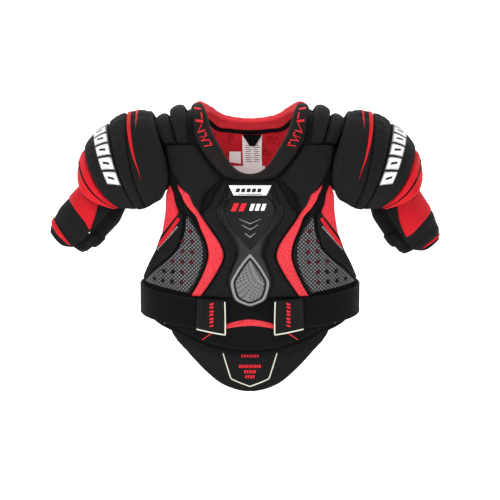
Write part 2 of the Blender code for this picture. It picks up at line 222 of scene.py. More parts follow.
def newGroup(name, inputs, outputs):
    group = bpy.data.node_groups.new(name, "ShaderNodeTree")
    for label, kind, value in inputs:
        socket = group.interface.new_socket(label, in_out="INPUT", socket_type=kind)
        if value is not None:
            socket.default_value = value
    for label in outputs:
        group.interface.new_socket(label, in_out="OUTPUT", socket_type="NodeSocketFloat")
    return group, group.nodes.new("NodeGroupInput"), group.nodes.new("NodeGroupOutput")


def mathNode(tree, operation, a, b=None, c=None):
    node = tree.nodes.new("ShaderNodeMath")
    node.operation = operation
    for socket, value in zip(node.inputs, (a, b, c)):
        if isinstance(value, (int, float)):
            socket.default_value = value
        elif value is not None:
            tree.links.new(value, socket)
    return node.outputs[0]


def noiseNode(tree, vector, scale, detail=3.0, roughness=0.55):
    node = tree.nodes.new("ShaderNodeTexNoise")
    node.inputs["Scale"].default_value = scale
    node.inputs["Detail"].default_value = detail
    node.inputs["Roughness"].default_value = roughness
    tree.links.new(vector, node.inputs["Vector"])
    return node.outputs["Fac"]


def splitVector(tree, vector):
    node = tree.nodes.new("ShaderNodeSeparateXYZ")
    tree.links.new(vector, node.inputs[0])
    return node.outputs


def weaveGroup():
    # plain weave: warp over weft in alternate cells. Vector is in metres
    group, ins, outs = newGroup(
        "plain weave",
        [("Vector", "NodeSocketVector", None), ("Threads", "NodeSocketFloat", 900.0)],
        ["Height", "Shade"],
    )
    x, y, _ = splitVector(group, ins.outputs["Vector"])
    turns = mathNode(group, "MULTIPLY", ins.outputs["Threads"], math.pi)
    a = mathNode(group, "SINE", mathNode(group, "MULTIPLY", x, turns))
    b = mathNode(group, "SINE", mathNode(group, "MULTIPLY", y, turns))
    over = mathNode(group, "GREATER_THAN", mathNode(group, "MULTIPLY", a, b), 0.0)
    warp = mathNode(group, "MULTIPLY", mathNode(group, "ABSOLUTE", a), over)
    weft = mathNode(group, "MULTIPLY", mathNode(group, "ABSOLUTE", b), mathNode(group, "SUBTRACT", 1.0, over))
    height = mathNode(group, "ADD", warp, weft)
    fine = noiseNode(group, ins.outputs["Vector"], 2600.0, 2.0)
    shade = mathNode(group, "MULTIPLY_ADD", height, 0.6, mathNode(group, "MULTIPLY", fine, 0.4))
    group.links.new(height, outs.inputs["Height"])
    group.links.new(shade, outs.inputs["Shade"])
    return group


def ribGroup():
    # ribs that run along Y, with a finer thread across them
    group, ins, outs = newGroup(
        "elastic ribs",
        [("Vector", "NodeSocketVector", None), ("Ribs", "NodeSocketFloat", 420.0)],
        ["Height", "Shade"],
    )
    x, y, _ = splitVector(group, ins.outputs["Vector"])
    turns = mathNode(group, "MULTIPLY", ins.outputs["Ribs"], math.pi)
    rib = mathNode(group, "ABSOLUTE", mathNode(group, "SINE", mathNode(group, "MULTIPLY", x, turns)))
    pick = mathNode(group, "ABSOLUTE", mathNode(group, "SINE", mathNode(group, "MULTIPLY", y, 2700.0)))
    height = mathNode(group, "MULTIPLY_ADD", pick, 0.25, mathNode(group, "MULTIPLY", rib, 0.75))
    fine = noiseNode(group, ins.outputs["Vector"], 1500.0, 2.0)
    shade = mathNode(group, "MULTIPLY_ADD", rib, 0.6, mathNode(group, "MULTIPLY", fine, 0.4))
    group.links.new(height, outs.inputs["Height"])
    group.links.new(shade, outs.inputs["Shade"])
    return group


def handlingGroup():
    # slow tone changes, lint and rubbed spots, on Object coordinates. The red lining also takes painted crease shade
    # from Tone, and the red accents take painted highlight flecks from Fuzz
    group, ins, outs = newGroup(
        "handling", [("Vector", "NodeSocketVector", None), ("Size", "NodeSocketFloat", 1.0)], ["Tone", "Rub", "Fuzz"]
    )
    scaled = group.nodes.new("ShaderNodeVectorMath")
    scaled.operation = "SCALE"
    group.links.new(ins.outputs["Vector"], scaled.inputs[0])
    group.links.new(ins.outputs["Size"], scaled.inputs["Scale"])
    broad = noiseNode(group, scaled.outputs[0], 14.0, 4.0, 0.6)
    patch = noiseNode(group, scaled.outputs[0], 55.0, 3.0, 0.6)
    tone = mathNode(group, "MULTIPLY_ADD", broad, 0.65, mathNode(group, "MULTIPLY", patch, 0.35))
    rub = mathNode(group, "GREATER_THAN", noiseNode(group, scaled.outputs[0], 420.0, 5.0, 0.7), 0.66)
    fuzz = noiseNode(group, scaled.outputs[0], 900.0, 4.0, 0.7)
    group.links.new(tone, outs.inputs["Tone"])
    group.links.new(rub, outs.inputs["Rub"])
    group.links.new(fuzz, outs.inputs["Fuzz"])
    return group


def dotGroup():
    # offset rows of round dots. Vector is in metres, Pitch is dots in a metre
    group, ins, outs = newGroup(
        "dot rows",
        [("Vector", "NodeSocketVector", None), ("Pitch", "NodeSocketFloat", 500.0),
         ("Radius", "NodeSocketFloat", 0.3)],
        ["Dot"],
    )
    x, y, _ = splitVector(group, ins.outputs["Vector"])
    a = mathNode(group, "MULTIPLY", mathNode(group, "ADD", x, y), ins.outputs["Pitch"])
    b = mathNode(group, "MULTIPLY", mathNode(group, "SUBTRACT", x, y), ins.outputs["Pitch"])
    fa = mathNode(group, "SUBTRACT", mathNode(group, "FRACT", a), 0.5)
    fb = mathNode(group, "SUBTRACT", mathNode(group, "FRACT", b), 0.5)
    far = mathNode(group, "SQRT", mathNode(group, "ADD", mathNode(group, "POWER", fa, 2.0),
                                           mathNode(group, "POWER", fb, 2.0)))
    soft = group.nodes.new("ShaderNodeMapRange")
    group.links.new(far, soft.inputs["Value"])
    group.links.new(ins.outputs["Radius"], soft.inputs["From Max"])
    soft.inputs["From Min"].default_value = 0.12
    soft.inputs["To Min"].default_value = 1.0
    soft.inputs["To Max"].default_value = 0.0
    group.links.new(soft.outputs[0], outs.inputs["Dot"])
    return group


groups = {"weave": weaveGroup(), "ribs": ribGroup(), "handling": handlingGroup(), "dots": dotGroup()}


class Finish:
    # one material: its Principled shader and the usual inputs
    def __init__(self, name, roughness, **sockets):
        self.made = bpy.data.materials.new(name)
        self.made.use_nodes = True
        self.tree = self.made.node_tree
        self.shader = self.tree.nodes["Principled BSDF"]
        self.shader.inputs["Roughness"].default_value = roughness
        for socket, value in sockets.items():
            self.shader.inputs[socket.replace("_", " ")].default_value = value
        self.coords = self.tree.nodes.new("ShaderNodeTexCoord")
        self.cloth = self.tree.nodes.new("ShaderNodeUVMap")
        self.cloth.uv_map = "cloth"

    def group(self, name, vector, **values):
        node = self.tree.nodes.new("ShaderNodeGroup")
        node.node_tree = groups[name]
        self.tree.links.new(vector, node.inputs["Vector"])
        for socket, value in values.items():
            node.inputs[socket].default_value = value
        return node.outputs

    def mix(self, factor, first, second):
        node = self.tree.nodes.new("ShaderNodeMix")
        node.data_type = "RGBA"
        for socket, value in (("Factor", factor), ("A", first), ("B", second)):
            found = next(s for s in node.inputs if s.name == socket and s.type == ("VALUE" if socket == "Factor" else "RGBA"))
            if isinstance(value, tuple):
                found.default_value = (*value, 1.0)
            elif isinstance(value, (int, float)):
                found.default_value = value
            else:
                self.tree.links.new(value, found)
        return next(s for s in node.outputs if s.type == "RGBA")

    def ranged(self, value, low, high, toLow=0.0, toHigh=1.0):
        node = self.tree.nodes.new("ShaderNodeMapRange")
        self.tree.links.new(value, node.inputs["Value"])
        for socket, number in (("From Min", low), ("From Max", high), ("To Min", toLow), ("To Max", toHigh)):
            node.inputs[socket].default_value = number
        return node.outputs[0]

    def bump(self, heights, distance):
        # heights: (socket, share) pairs, added up
        total = None
        for socket, share in heights:
            part = mathNode(self.tree, "MULTIPLY", socket, share)
            total = part if total is None else mathNode(self.tree, "ADD", total, part)
        node = self.tree.nodes.new("ShaderNodeBump")
        node.inputs["Distance"].default_value = distance
        self.tree.links.new(total, node.inputs["Height"])
        self.tree.links.new(node.outputs[0], self.shader.inputs["Normal"])

    def colour(self, socket):
        self.tree.links.new(socket, self.shader.inputs["Base Color"])

    def rough(self, socket):
        self.tree.links.new(socket, self.shader.inputs["Roughness"])


def clothFinish(name, dark, light, kind="weave", threads=800.0, depth=0.00025, roughness=0.85, sheen=0.015,
                pale=None, marks=None):
    # pale: colour of fine pale flecks, a painted highlight speckle. marks: colour of broad dark patches, painted
    # shade for the creases of the lining
    finish = Finish(name, roughness, Sheen_Weight=sheen, Sheen_Roughness=0.45, Specular_IOR_Level=0.06)
    pattern = finish.group(kind, finish.cloth.outputs[0], **{"Threads" if kind == "weave" else "Ribs": threads})
    hand = finish.group("handling", finish.coords.outputs["Object"])
    base = finish.mix(finish.ranged(hand["Tone"], 0.32, 0.68), dark, light)
    base = finish.mix(finish.ranged(pattern["Shade"], 0.1, 0.9, 0.0, 0.35), base,
                      tuple(min(c * 1.9, 1.0) for c in light))
    base = finish.mix(finish.ranged(hand["Rub"], 0.0, 1.0, 0.0, 0.18), base,
                      tuple(min(c * 2.4 + 0.01, 1.0) for c in light))
    if pale:
        # painted highlight: pale flecks standing in for the speckled highlights of a glossy red coating
        base = finish.mix(finish.ranged(hand["Fuzz"], 0.48, 0.62, 0.0, 0.8), base, pale)
    if marks:
        # painted shade: broad dark patches where the lining's creases are shaded
        creaseShade = finish.group("handling", finish.coords.outputs["Object"], Size=4.5)["Tone"]
        base = finish.mix(finish.ranged(creaseShade, 0.46, 0.38, 0.0, 0.55), base, marks)
    finish.colour(base)
    finish.rough(finish.ranged(hand["Tone"], 0.3, 0.7, roughness - 0.08, min(roughness + 0.1, 1.0)))
    finish.bump([(pattern["Height"], 0.7), (hand["Fuzz"], 0.6)], depth)
    return finish.made


def plasticFinish(name, dark, light, roughness=0.35, coat=0.06, grain=0.00012):
    finish = Finish(name, roughness, Coat_Weight=coat, Coat_Roughness=0.12, Specular_IOR_Level=0.12)
    hand = finish.group("handling", finish.coords.outputs["Object"], Size=1.6)
    base = finish.mix(finish.ranged(hand["Tone"], 0.3, 0.7), dark, light)
    base = finish.mix(finish.ranged(hand["Rub"], 0.0, 1.0, 0.0, 0.10), base,
                      tuple(min(c * 2 + 0.01, 1.0) for c in light))
    finish.colour(base)
    finish.rough(finish.ranged(hand["Tone"], 0.3, 0.7, roughness - 0.06, roughness + 0.12))
    finish.bump([(hand["Fuzz"], 1.0)], grain)
    return finish.made


def speckledFinish(name, ground, fleck, dot):
    # grey moulding with pale flecks and rows of small dark dots
    finish = Finish(name, 0.42, Coat_Weight=0.1, Coat_Roughness=0.3)
    hand = finish.group("handling", finish.coords.outputs["Object"], Size=1.3)
    flecks = finish.ranged(hand["Fuzz"], 0.40, 0.70)
    base = finish.mix(flecks, ground, fleck)
    dots = finish.group("dots", finish.cloth.outputs[0], Pitch=125.0, Radius=0.30)
    finish.colour(finish.mix(dots["Dot"], base, dot))
    finish.rough(finish.ranged(hand["Tone"], 0.3, 0.7, 0.35, 0.55))
    heights = [(mathNode(finish.tree, "SUBTRACT", 1.0, dots["Dot"]), 1.0), (hand["Fuzz"], 0.5)]
    finish.bump(heights, 0.0009)
    return finish.made


def meshFinish(name, ground, thread, shadow):
    # coated mesh: pale dots on a diagonal grid, darker towards the side of the body
    finish = Finish(name, 0.6, Sheen_Weight=0.1, Specular_IOR_Level=0.3)
    hand = finish.group("handling", finish.coords.outputs["Object"])
    across, _, up = splitVector(finish.tree, finish.coords.outputs["Object"])
    flat = finish.tree.nodes.new("ShaderNodeCombineXYZ")
    finish.tree.links.new(across, flat.inputs[0])
    finish.tree.links.new(up, flat.inputs[1])
    dots = finish.group("dots", flat.outputs[0], Pitch=160.0, Radius=0.36)
    base = finish.mix(finish.ranged(hand["Tone"], 0.3, 0.7), ground, tuple(c * 1.4 for c in ground))
    base = finish.mix(dots["Dot"], base, thread)
    aside = mathNode(finish.tree, "ABSOLUTE", across)
    finish.colour(finish.mix(finish.ranged(aside, 0.110, 0.180, 0.0, 0.70), base, shadow))
    finish.bump([(dots["Dot"], 1.0), (hand["Fuzz"], 0.3)], 0.0005)
    return finish.made


tones = {
    "black": (0.0030, 0.0030, 0.0033), "soft": (0.0060, 0.0060, 0.0063), "charcoal": (0.0100, 0.0098, 0.0102),
    "red": (0.60, 0.014, 0.024),
    "cream": (0.70, 0.72, 0.55), "white": (0.82, 0.82, 0.82),
}
look = {
    "liner": clothFinish("liner black", tones["black"], tones["soft"], threads=900, roughness=0.86),
    "padCloth": clothFinish("pad cover black", tones["soft"], tones["charcoal"], threads=1100, roughness=0.8),
    "capCloth": clothFinish("cap cover black", tones["soft"], tones["charcoal"], threads=1000, roughness=0.82,
                            sheen=0.02),
    "collarCloth": clothFinish("collar neoprene", (0.0075, 0.0070, 0.0070), (0.0130, 0.0108, 0.0106), threads=1300,
                               depth=0.00015, roughness=0.88),
    "lining": clothFinish(
        "red lining", (0.40, 0.010, 0.018), (0.72, 0.022, 0.034), threads=520, depth=0.0006, roughness=0.9,
        # marks: painted shade for the creases of the red lining
        marks=(0.10, 0.006, 0.008),
    ),
    "rollRed": clothFinish("red roll", (0.50, 0.018, 0.026), (0.64, 0.034, 0.044), threads=900, roughness=0.8),
    "redCloth": clothFinish("red cover", (0.42, 0.008, 0.014), (0.53, 0.012, 0.020), threads=1100, roughness=0.62),
    # pale: painted highlight flecks on the red accent and the red gusset
    "accent": clothFinish("red accent", (0.50, 0.012, 0.020), tones["red"], threads=900, roughness=0.55,
                          pale=(0.80, 0.15, 0.17)),
    "gusset": clothFinish("red gusset", (0.48, 0.014, 0.022), tones["red"], threads=900, roughness=0.6,
                          pale=(0.74, 0.10, 0.12)),
    "elastic": clothFinish("ribbed elastic", (0.0020, 0.0020, 0.0022), (0.0038, 0.0038, 0.0040), kind="ribs",
                           threads=430, depth=0.0004, roughness=0.8),
    "ribbed": clothFinish("ribbed knit", tones["black"], tones["charcoal"], kind="ribs", threads=260, depth=0.0006,
                          roughness=0.85),
    "tab": clothFinish("tab webbing", tones["soft"], tones["charcoal"], threads=1400, depth=0.0002, roughness=0.75),
    "binding": clothFinish("black binding", (0.002, 0.002, 0.0023), tones["black"], kind="ribs", threads=700,
                           roughness=0.7),
    "label": clothFinish("white satin", (0.84, 0.84, 0.84), (0.93, 0.93, 0.92), threads=1500, depth=0.0001,
                         roughness=0.5, sheen=0.1),
    "plastic": plasticFinish("moulded black", (0.0022, 0.0022, 0.0024), (0.0045, 0.0045, 0.0048), roughness=0.26),
    "satin": plasticFinish("satin black", (0.005, 0.005, 0.0054), (0.009, 0.009, 0.0094), roughness=0.42),
    "frameGrey": plasticFinish("frame grey", (0.014, 0.014, 0.015), (0.027, 0.027, 0.0285), roughness=0.4),
    "bezel": plasticFinish("grey bezel", (0.20, 0.20, 0.21), (0.27, 0.27, 0.28), roughness=0.4),
    "speckled": speckledFinish("speckled grey", (0.09, 0.09, 0.094), (0.22, 0.22, 0.23), (0.008, 0.008, 0.009)),
    "sideMesh": meshFinish("coated mesh", (0.008, 0.008, 0.009), (0.25, 0.25, 0.26), (0.005, 0.005, 0.006)),
    "badge": plasticFinish("white badge", (0.78, 0.78, 0.79), (0.86, 0.86, 0.86), roughness=0.3, coat=0.3,
                           grain=0.00003),
    "printRed": plasticFinish("red print", (0.62, 0.012, 0.022), (0.72, 0.022, 0.034), roughness=0.5, coat=0.0,
                              grain=0.00003),
    "printWhite": plasticFinish("white print", (0.78, 0.78, 0.78), (0.88, 0.88, 0.88), roughness=0.5, coat=0.0,
                                grain=0.00003),
    "printGrey": plasticFinish("grey print", (0.30, 0.30, 0.30), (0.42, 0.42, 0.42), roughness=0.55, coat=0.0,
                               grain=0.00003),
    "printBlack": plasticFinish("black print", (0.008, 0.008, 0.009), (0.014, 0.014, 0.015), roughness=0.5, coat=0.0,
                                grain=0.00003),
    "cream": clothFinish("cream piping", (0.60, 0.61, 0.44), tones["cream"], kind="ribs", threads=900, roughness=0.6,
                         sheen=0.1),
    # hole colours: the fabric seen through the mesh, darkened with painted shade
    "holeRed": plasticFinish("hole red", (0.040, 0.003, 0.005), (0.070, 0.005, 0.008), roughness=0.6, coat=0.0),
    "hole": plasticFinish("hole black", (0.0015, 0.0015, 0.0015), (0.003, 0.003, 0.003), roughness=0.7, coat=0.0),
    "thread": clothFinish("black thread", (0.018, 0.018, 0.019), (0.035, 0.035, 0.036), kind="ribs", threads=1600,
                          roughness=0.6),
    "metal": plasticFinish("rivet metal", (0.55, 0.52, 0.42), (0.70, 0.68, 0.58), roughness=0.25, coat=0.2,
                           grain=0.00002),
}
print("finishes ready:", len(look))


def roundEdge(distance, radius):
    if radius <= 0:
        return np.ones_like(distance)
    near = np.clip(distance / radius, 0.0, 1.0)
    return np.sqrt(np.clip(1 - (1 - near) ** 2, 0.0, 1.0))


def turnAndMirror(points, normals, side, turn):
    # arms turn about their pivot; the right side is the mirror image of the left
    if turn:
        spin = np.array(Matrix.Rotation(turn, 3, "Y"))
        pivot = np.array(arm["pivot"])
        points = (points - pivot) @ spin.T + pivot
        normals = normals @ spin.T
    flip = np.array([side, 1, 1])
    return points * flip, normals * flip


def surfacesOf(names):
    graph = bpy.context.evaluated_depsgraph_get()
    return [BVHTree.FromObject(made[name], graph) for name in names]


def settled(point, normal, trees, reach=0.022):
    # the outermost hit of a ray that comes in along the normal
    start = Vector(point) + Vector(normal) * reach
    best = None
    for tree in trees:
        hit = tree.ray_cast(start, -Vector(normal), reach * 2)
        if hit[0] is not None and (best is None or hit[3] < best[3]):
            best = hit
    return np.array(best[0]) if best else np.array(point)


def addPiece(name, bm, materials, body, replaced=(), angle=45, levels=0):
    mesh = bpy.data.meshes.new(name)
    bm.to_mesh(mesh)
    bm.free()
    piece = bpy.data.objects.new(name, mesh)
    for material in materials:
        mesh.materials.append(look[material])
    scene.collection.objects.link(piece)
    mesh.shade_smooth()
    if angle:
        mesh.set_sharp_from_angle(angle=math.radians(angle))
    if levels:
        finer = piece.modifiers.new("finer", "SUBSURF")
        finer.levels = levels
        finer.render_levels = levels
    if isinstance(body, tuple):
        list(body)
        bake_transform(piece)  # (body, body, start, end): the piece is baked in place and attached to no body
    else:
        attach(piece, body)
    if replaced:
        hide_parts(*replaced)
    made[name] = piece
    return piece


def panel(name, place, cells, layer, core, materials, body, side=1, turn=0.0, edge=0.003, rim=0.35, crown=0.0,
          shape=None, onto=None, ease=(0.5, 0.5), levels=1, replaced=(), inflate=None):
    # a sheet with thickness on a surface: rounded at its edges, crowned in the middle
    across, down = cells
    us = np.linspace(0, 1, across + 1)
    vs = np.linspace(0, 1, down + 1)
    us = us - ease[0] * np.sin(2 * np.pi * us) / (2 * np.pi)
    vs = vs - ease[1] * np.sin(2 * np.pi * vs) / (2 * np.pi)
    points = np.array([[place(u, v) for v in vs] for u in us], float)
    normals = np.cross(np.gradient(points, axis=0), np.gradient(points, axis=1))
    normals /= np.maximum(np.linalg.norm(normals, axis=2, keepdims=True), 1e-12)
    away = ((points - np.array(core)) * normals).sum(axis=2, keepdims=True)
    normals = np.where(away < 0, -normals, normals)
    spanU = np.linalg.norm(np.diff(points, axis=0), axis=2)
    spanV = np.linalg.norm(np.diff(points, axis=1), axis=2)
    cumU = np.concatenate([np.zeros((1, down + 1)), np.cumsum(spanU, axis=0)])
    cumV = np.concatenate([np.zeros((across + 1, 1)), np.cumsum(spanV, axis=1)], axis=1)
    nearU = np.minimum(cumU, cumU[-1:] - cumU)
    nearV = np.minimum(cumV, cumV[:, -1:] - cumV)
    share = roundEdge(nearU, edge) * roundEdge(nearV, edge)
    full = np.sin(np.pi * np.clip(cumU / np.maximum(cumU[-1:], 1e-9), 0, 1)) ** 0.5
    full = full * np.sin(np.pi * np.clip(cumV / np.maximum(cumV[:, -1:], 1e-9), 0, 1)) ** 0.5
    full = np.nan_to_num(full)
    points, normals = turnAndMirror(points, normals, side, turn)
    if onto:
        trees = surfacesOf(onto)
        for i in range(across + 1):
            for j in range(down + 1):
                points[i, j] = settled(points[i, j], normals[i, j], trees)
    thick = layer[1] - layer[0]
    high = layer[0] + thick * (rim + (1 - rim) * share) + crown * full
    if shape:
        high = high + np.array([[shape(u, v) for v in vs] for u in us]) * np.minimum(share * 1.2, 1.0)
    low = layer[0] + np.zeros_like(high)
    bm = bmesh.new()
    row, col = bm.verts.layers.int.new("row"), bm.verts.layers.int.new("col")
    held = bm.verts.layers.float.new("held")
    uv = bm.loops.layers.uv.new("cloth")
    bmesh.ops.create_grid(bm, x_segments=across, y_segments=down, size=0.5)
    for vert in bm.verts:
        vert[row] = round((vert.co.x + 0.5) * across)
        vert[col] = round((vert.co.y + 0.5) * down)
    under = set(bm.faces)
    lifted = bmesh.ops.extrude_face_region(bm, geom=bm.faces[:])
    outer = {item for item in lifted["geom"] if isinstance(item, bmesh.types.BMVert)}
    for vert in bm.verts:
        i, j = vert[row], vert[col]
        lift = high[i, j] if vert in outer else low[i, j]
        vert.co = points[i, j] + normals[i, j] * lift
        inside = min(nearU[i, j], nearV[i, j]) / max(edge * 1.3, 0.002)
        vert[held] = 1.0 - min(inside, 1.0) if vert in outer else 1.0
    for face in bm.faces:
        if face in under and len(materials) > 1:
            face.material_index = 1
        for loop in face.loops:
            i, j = loop.vert[row], loop.vert[col]
            loop[uv].uv = (cumU[i, j], cumV[i, j])
    bmesh.ops.remove_doubles(bm, verts=bm.verts, dist=0.00002)
    bmesh.ops.recalc_face_normals(bm, faces=bm.faces)
    if bm.calc_volume(signed=True) < 0:
        bmesh.ops.reverse_faces(bm, faces=bm.faces)
    weights = [vert[held] for vert in bm.verts]
    piece = addPiece(name, bm, materials, body, replaced, levels=levels)
    if inflate:
        pinned = piece.vertex_groups.new(name="held")
        for index, weight in enumerate(weights):
            pinned.add([index], weight, "REPLACE")
        softPieces.append((piece, inflate))
    return piece


def fillPads(settings):
    # pressure swells the covers between their stitched edges; each point's travel is capped
    if not softPieces:
        return
    for piece, inflate in softPieces:
        cloth = piece.modifiers.new("filling", "CLOTH")
        while piece.modifiers[0] != cloth:
            piece.modifiers.move(len(piece.modifiers) - 1, 0)
        use = cloth.settings
        use.quality = settings["quality"]
        use.mass = settings["mass"]
        use.tension_stiffness = settings["tension"]
        use.compression_stiffness = settings["tension"]
        use.shear_stiffness = settings["shear"]
        use.bending_stiffness = settings["bending"]
        use.use_pressure = True
        use.uniform_pressure_force = inflate["pressure"]
        use.shrink_min = -inflate.get("slack", 0.02)
        use.vertex_group_mass = "held"
        use.pin_stiffness = 1.0
        use.effector_weights.gravity = 0
        cloth.point_cache.frame_end = settings["frames"]
    for number in range(1, settings["frames"] + 1):
        scene.frame_set(number)
    graph = bpy.context.evaluated_depsgraph_get()
    for piece, _ in softPieces:
        piece.modifiers["finer"].show_viewport = False
    graph.update()
    for piece, inflate in softPieces:
        solved = piece.evaluated_get(graph).to_mesh()
        moves = [solved.vertices[v.index].co - v.co for v in piece.data.vertices]
        for vert, move in zip(piece.data.vertices, moves):
            if move.length > inflate["most"]:
                move *= inflate["most"] / move.length
            vert.co += move
        piece.evaluated_get(graph).to_mesh_clear()
        piece.modifiers.remove(piece.modifiers["filling"])
        piece.vertex_groups.clear()
        piece.modifiers["finer"].show_viewport = True
    scene.frame_set(1)


def route(place, points, step, core, side=1, turn=0.0, onto=None, lift=0.0):
    # evenly spaced points and normals of a curve drawn on a surface
    fine = [along(points, k / 240) for k in range(241)]
    spots = [np.array(place(*p)) for p in fine]
    tilts = []
    for p in fine:
        du = np.array(place(p[0] + 1e-3, p[1])) - np.array(place(p[0] - 1e-3, p[1]))
        dv = np.array(place(p[0], p[1] + 1e-3)) - np.array(place(p[0], p[1] - 1e-3))
        tilt = np.cross(du, dv)
        tilt = tilt / max(np.linalg.norm(tilt), 1e-12)
        if (np.array(place(*p)) - np.array(core)) @ tilt < 0:
            tilt = -tilt
        tilts.append(tilt)
    run = np.concatenate([[0], np.cumsum(np.linalg.norm(np.diff(spots, axis=0), axis=1))])
    count = max(int(run[-1] / step), 2)
    at = np.linspace(0, run[-1], count + 1)
    spots, tilts = np.array(spots), np.array(tilts)
    out = np.stack([np.interp(at, run, spots[:, k]) for k in range(3)], axis=1)
    tilt = np.stack([np.interp(at, run, tilts[:, k]) for k in range(3)], axis=1)
    tilt /= np.linalg.norm(tilt, axis=1, keepdims=True)
    out, tilt = turnAndMirror(out, tilt, side, turn)
    if onto:
        trees = surfacesOf(onto)
        out = np.array([settled(p, n, trees) for p, n in zip(out, tilt)])
    return out + tilt * lift, tilt


def groove(name, path, depth, width):
    # draws the cover in along a seam
    piece = made[name]
    spots, tilts = path
    for vert in piece.data.vertices:
        gap = np.linalg.norm(spots - np.array(vert.co), axis=1)
        nearest = gap.min()
        if nearest < width * 2.5:
            tilt = Vector(tilts[gap.argmin()])
            if vert.normal.dot(tilt) > 0.2:
                vert.co -= tilt * (depth * math.exp(-((nearest / width) ** 2)))
    piece.data.update()


def stitchRow(name, paths, body, material="thread", length=0.0026, radius=0.00032):
    bm = bmesh.new()
    uv = bm.loops.layers.uv.new("cloth")
    for spots, tilts in paths:
        for k in range(len(spots) - 1):
            ahead = Vector(spots[k + 1] - spots[k])
            if ahead.length < 1e-6:
                continue
            ahead.normalize()
            up = Vector(tilts[k])
            cross = up.cross(ahead).normalized()
            basis = Matrix((ahead, cross, up)).transposed().to_4x4()
            size = Matrix.Diagonal((length / 2, radius, radius, 1))
            middle = Vector((spots[k] + spots[k + 1]) / 2)
            bmesh.ops.create_icosphere(bm, subdivisions=1, radius=1.0,
                                       matrix=Matrix.Translation(middle) @ basis @ size)
    for face in bm.faces:
        for loop in face.loops:
            loop[uv].uv = (loop.vert.co.x, loop.vert.co.z)
    return addPiece(name, bm, [material], body)


def cordOn(name, paths, radius, body, material, flat=1.0):
    # piping, bindings and thin raised lines: a tube along each path
    bm = bmesh.new()
    uv = bm.loops.layers.uv.new("cloth")
    corners = 8
    for spots, tilts in paths:
        rings = []
        for k, (spot, tilt) in enumerate(zip(spots, tilts)):
            ahead = Vector(spots[min(k + 1, len(spots) - 1)] - spots[max(k - 1, 0)]).normalized()
            up = Vector(tilt)
            cross = up.cross(ahead).normalized()
            basis = Matrix((cross, up, ahead)).transposed().to_4x4()
            size = Matrix.Diagonal((radius, radius * flat, 1, 1))
            ring = bmesh.ops.create_circle(
                bm, segments=corners, radius=1.0, cap_ends=k in (0, len(spots) - 1),
                matrix=Matrix.Translation(Vector(spot)) @ basis @ size,
            )["verts"]
            rings.append(ring)
        for first, last in zip(rings, rings[1:]):
            edges = set()
            for ring in (first, last):
                inside = set(ring)
                edges |= {e for v in ring for e in v.link_edges if e.verts[0] in inside and e.verts[1] in inside}
            bmesh.ops.bridge_loops(bm, edges=list(edges))
    bmesh.ops.recalc_face_normals(bm, faces=bm.faces)
    for face in bm.faces:
        for loop in face.loops:
            loop[uv].uv = (loop.vert.co.x + loop.vert.co.y, loop.vert.co.z)
    return addPiece(name, bm, [material], body, angle=60)


def decal(name, place, edges, cells, body, material, core, onto, side=1, turn=0.0, lift=0.0003, thick=0.0006):
    # a printed or bonded mark between two curves, laid on the finished pieces
    return panel(
        name, between(edges[0], edges[1], place), cells, (lift - printBase, lift + thick), core, [material], body,
        side=side, turn=turn, edge=0.0006, rim=0.5, onto=onto, ease=(0.0, 0.0), levels=0,
    )


def decalSet(name, place, marks, body, material, core, onto, side=1, turn=0.0, lift=0.0003, thick=0.0006,
             cells=(2, 3)):
    # several small marks as one piece: each mark is four (a, b) corners in order
    parts = []
    for k, (a, b, c, d) in enumerate(marks):
        parts.append(
            panel(
                f"{name}-{k}", between([a, b], [d, c], place), cells, (lift - printBase, lift + thick), core,
                [material], body,
                side=side, turn=turn, edge=0.0005, rim=0.5, onto=onto, ease=(0, 0), levels=0,
            )
        )
    return joinPieces(name, parts)


def drawn(points, step, side=1, **more):
    # a curve on the front of the vest, in millimetres
    return route(vestPoint, fronts(points), step, vestCore, side, **more)


def vestMarks(name, marks, body, material, on, side=1, **more):
    # small marks on the front of the vest, in millimetres
    return decalSet(name, vestPoint, [fronts(mark) for mark in marks], body, material, vestCore, on, side, **more)


def joinPieces(name, parts):
    bm = bmesh.new()
    for part in parts:
        bm.from_mesh(part.data)
    material = parts[0].data.materials[0]
    body = parts[0]["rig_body"]
    for part in parts:
        made.pop(part.name, None)
        bpy.data.objects.remove(part)
    label = next(key for key, value in look.items() if value == material)
    return addPiece(name, bm, [label], body)


linerParts = {
    "layer": (-0.0140, -0.0046),
    "neck": fronts([(0, -74.6), (5, -74.4), (10, -74), (15, -73.4), (20, -72.6), (26, -71.4), (33, -69.9), (42, -66),
                    (51, -59.8), (59, -52), (66.5, -43), (73.5, -33.6), (80, -24), (86, -14.6),
                    (93, 3.4)]) + [shoulder(0.1025)],
    "hem": fronts([(0, -355), (40, -351.5), (80, -341), (125, -322), (163, -306), (176, -283), (178.5, -256),
                   (175, -229), (157, -192), (146, -163), (138, -130), (134.5, -108), (135.5, -70), (139, -30),
                   (146, 10)]) + [shoulder(0.152)],
    "backNeck": rears([(0, 3.0), (9, 3.1), (18, 3.8), (27, 4.8), (36.5, 6.2), (45, 8.0), (54, 10.2), (62.8, 12.6)])
    + [(0.0700, 1.40), (0.0785, 1.33), (0.0868, 1.222), (0.0955, 1.11), (0.1025, 1.014)],
    "backHem": rears([(0, -330), (50, -324), (100, -312), (145, -288), (168, -262), (160, -220), (146, -178),
                      (137, -140), (134.5, -108), (135.5, -70), (139, -30), (146, 10)]) + [(0.152, 1.014)],
    "backCells": (60, 96),
}


def buildLiners(use):
    panel("vestFront", between(mirrored(use["neck"]), mirrored(use["hem"])), (64, 110), use["layer"], vestCore,
          ["liner", "lining"], "vest", edge=0.0045, rim=0.45, ease=(0.3, 0.3),
          replaced=["front_liner"])
    panel("vestBack", between(mirrored(use["backNeck"]), mirrored(use["backHem"])), use["backCells"], use["layer"],
          vestCore, ["liner", "lining"], "vest", edge=0.0045, rim=0.45, ease=(0.3, 0.3),
          replaced=["back_liner"])


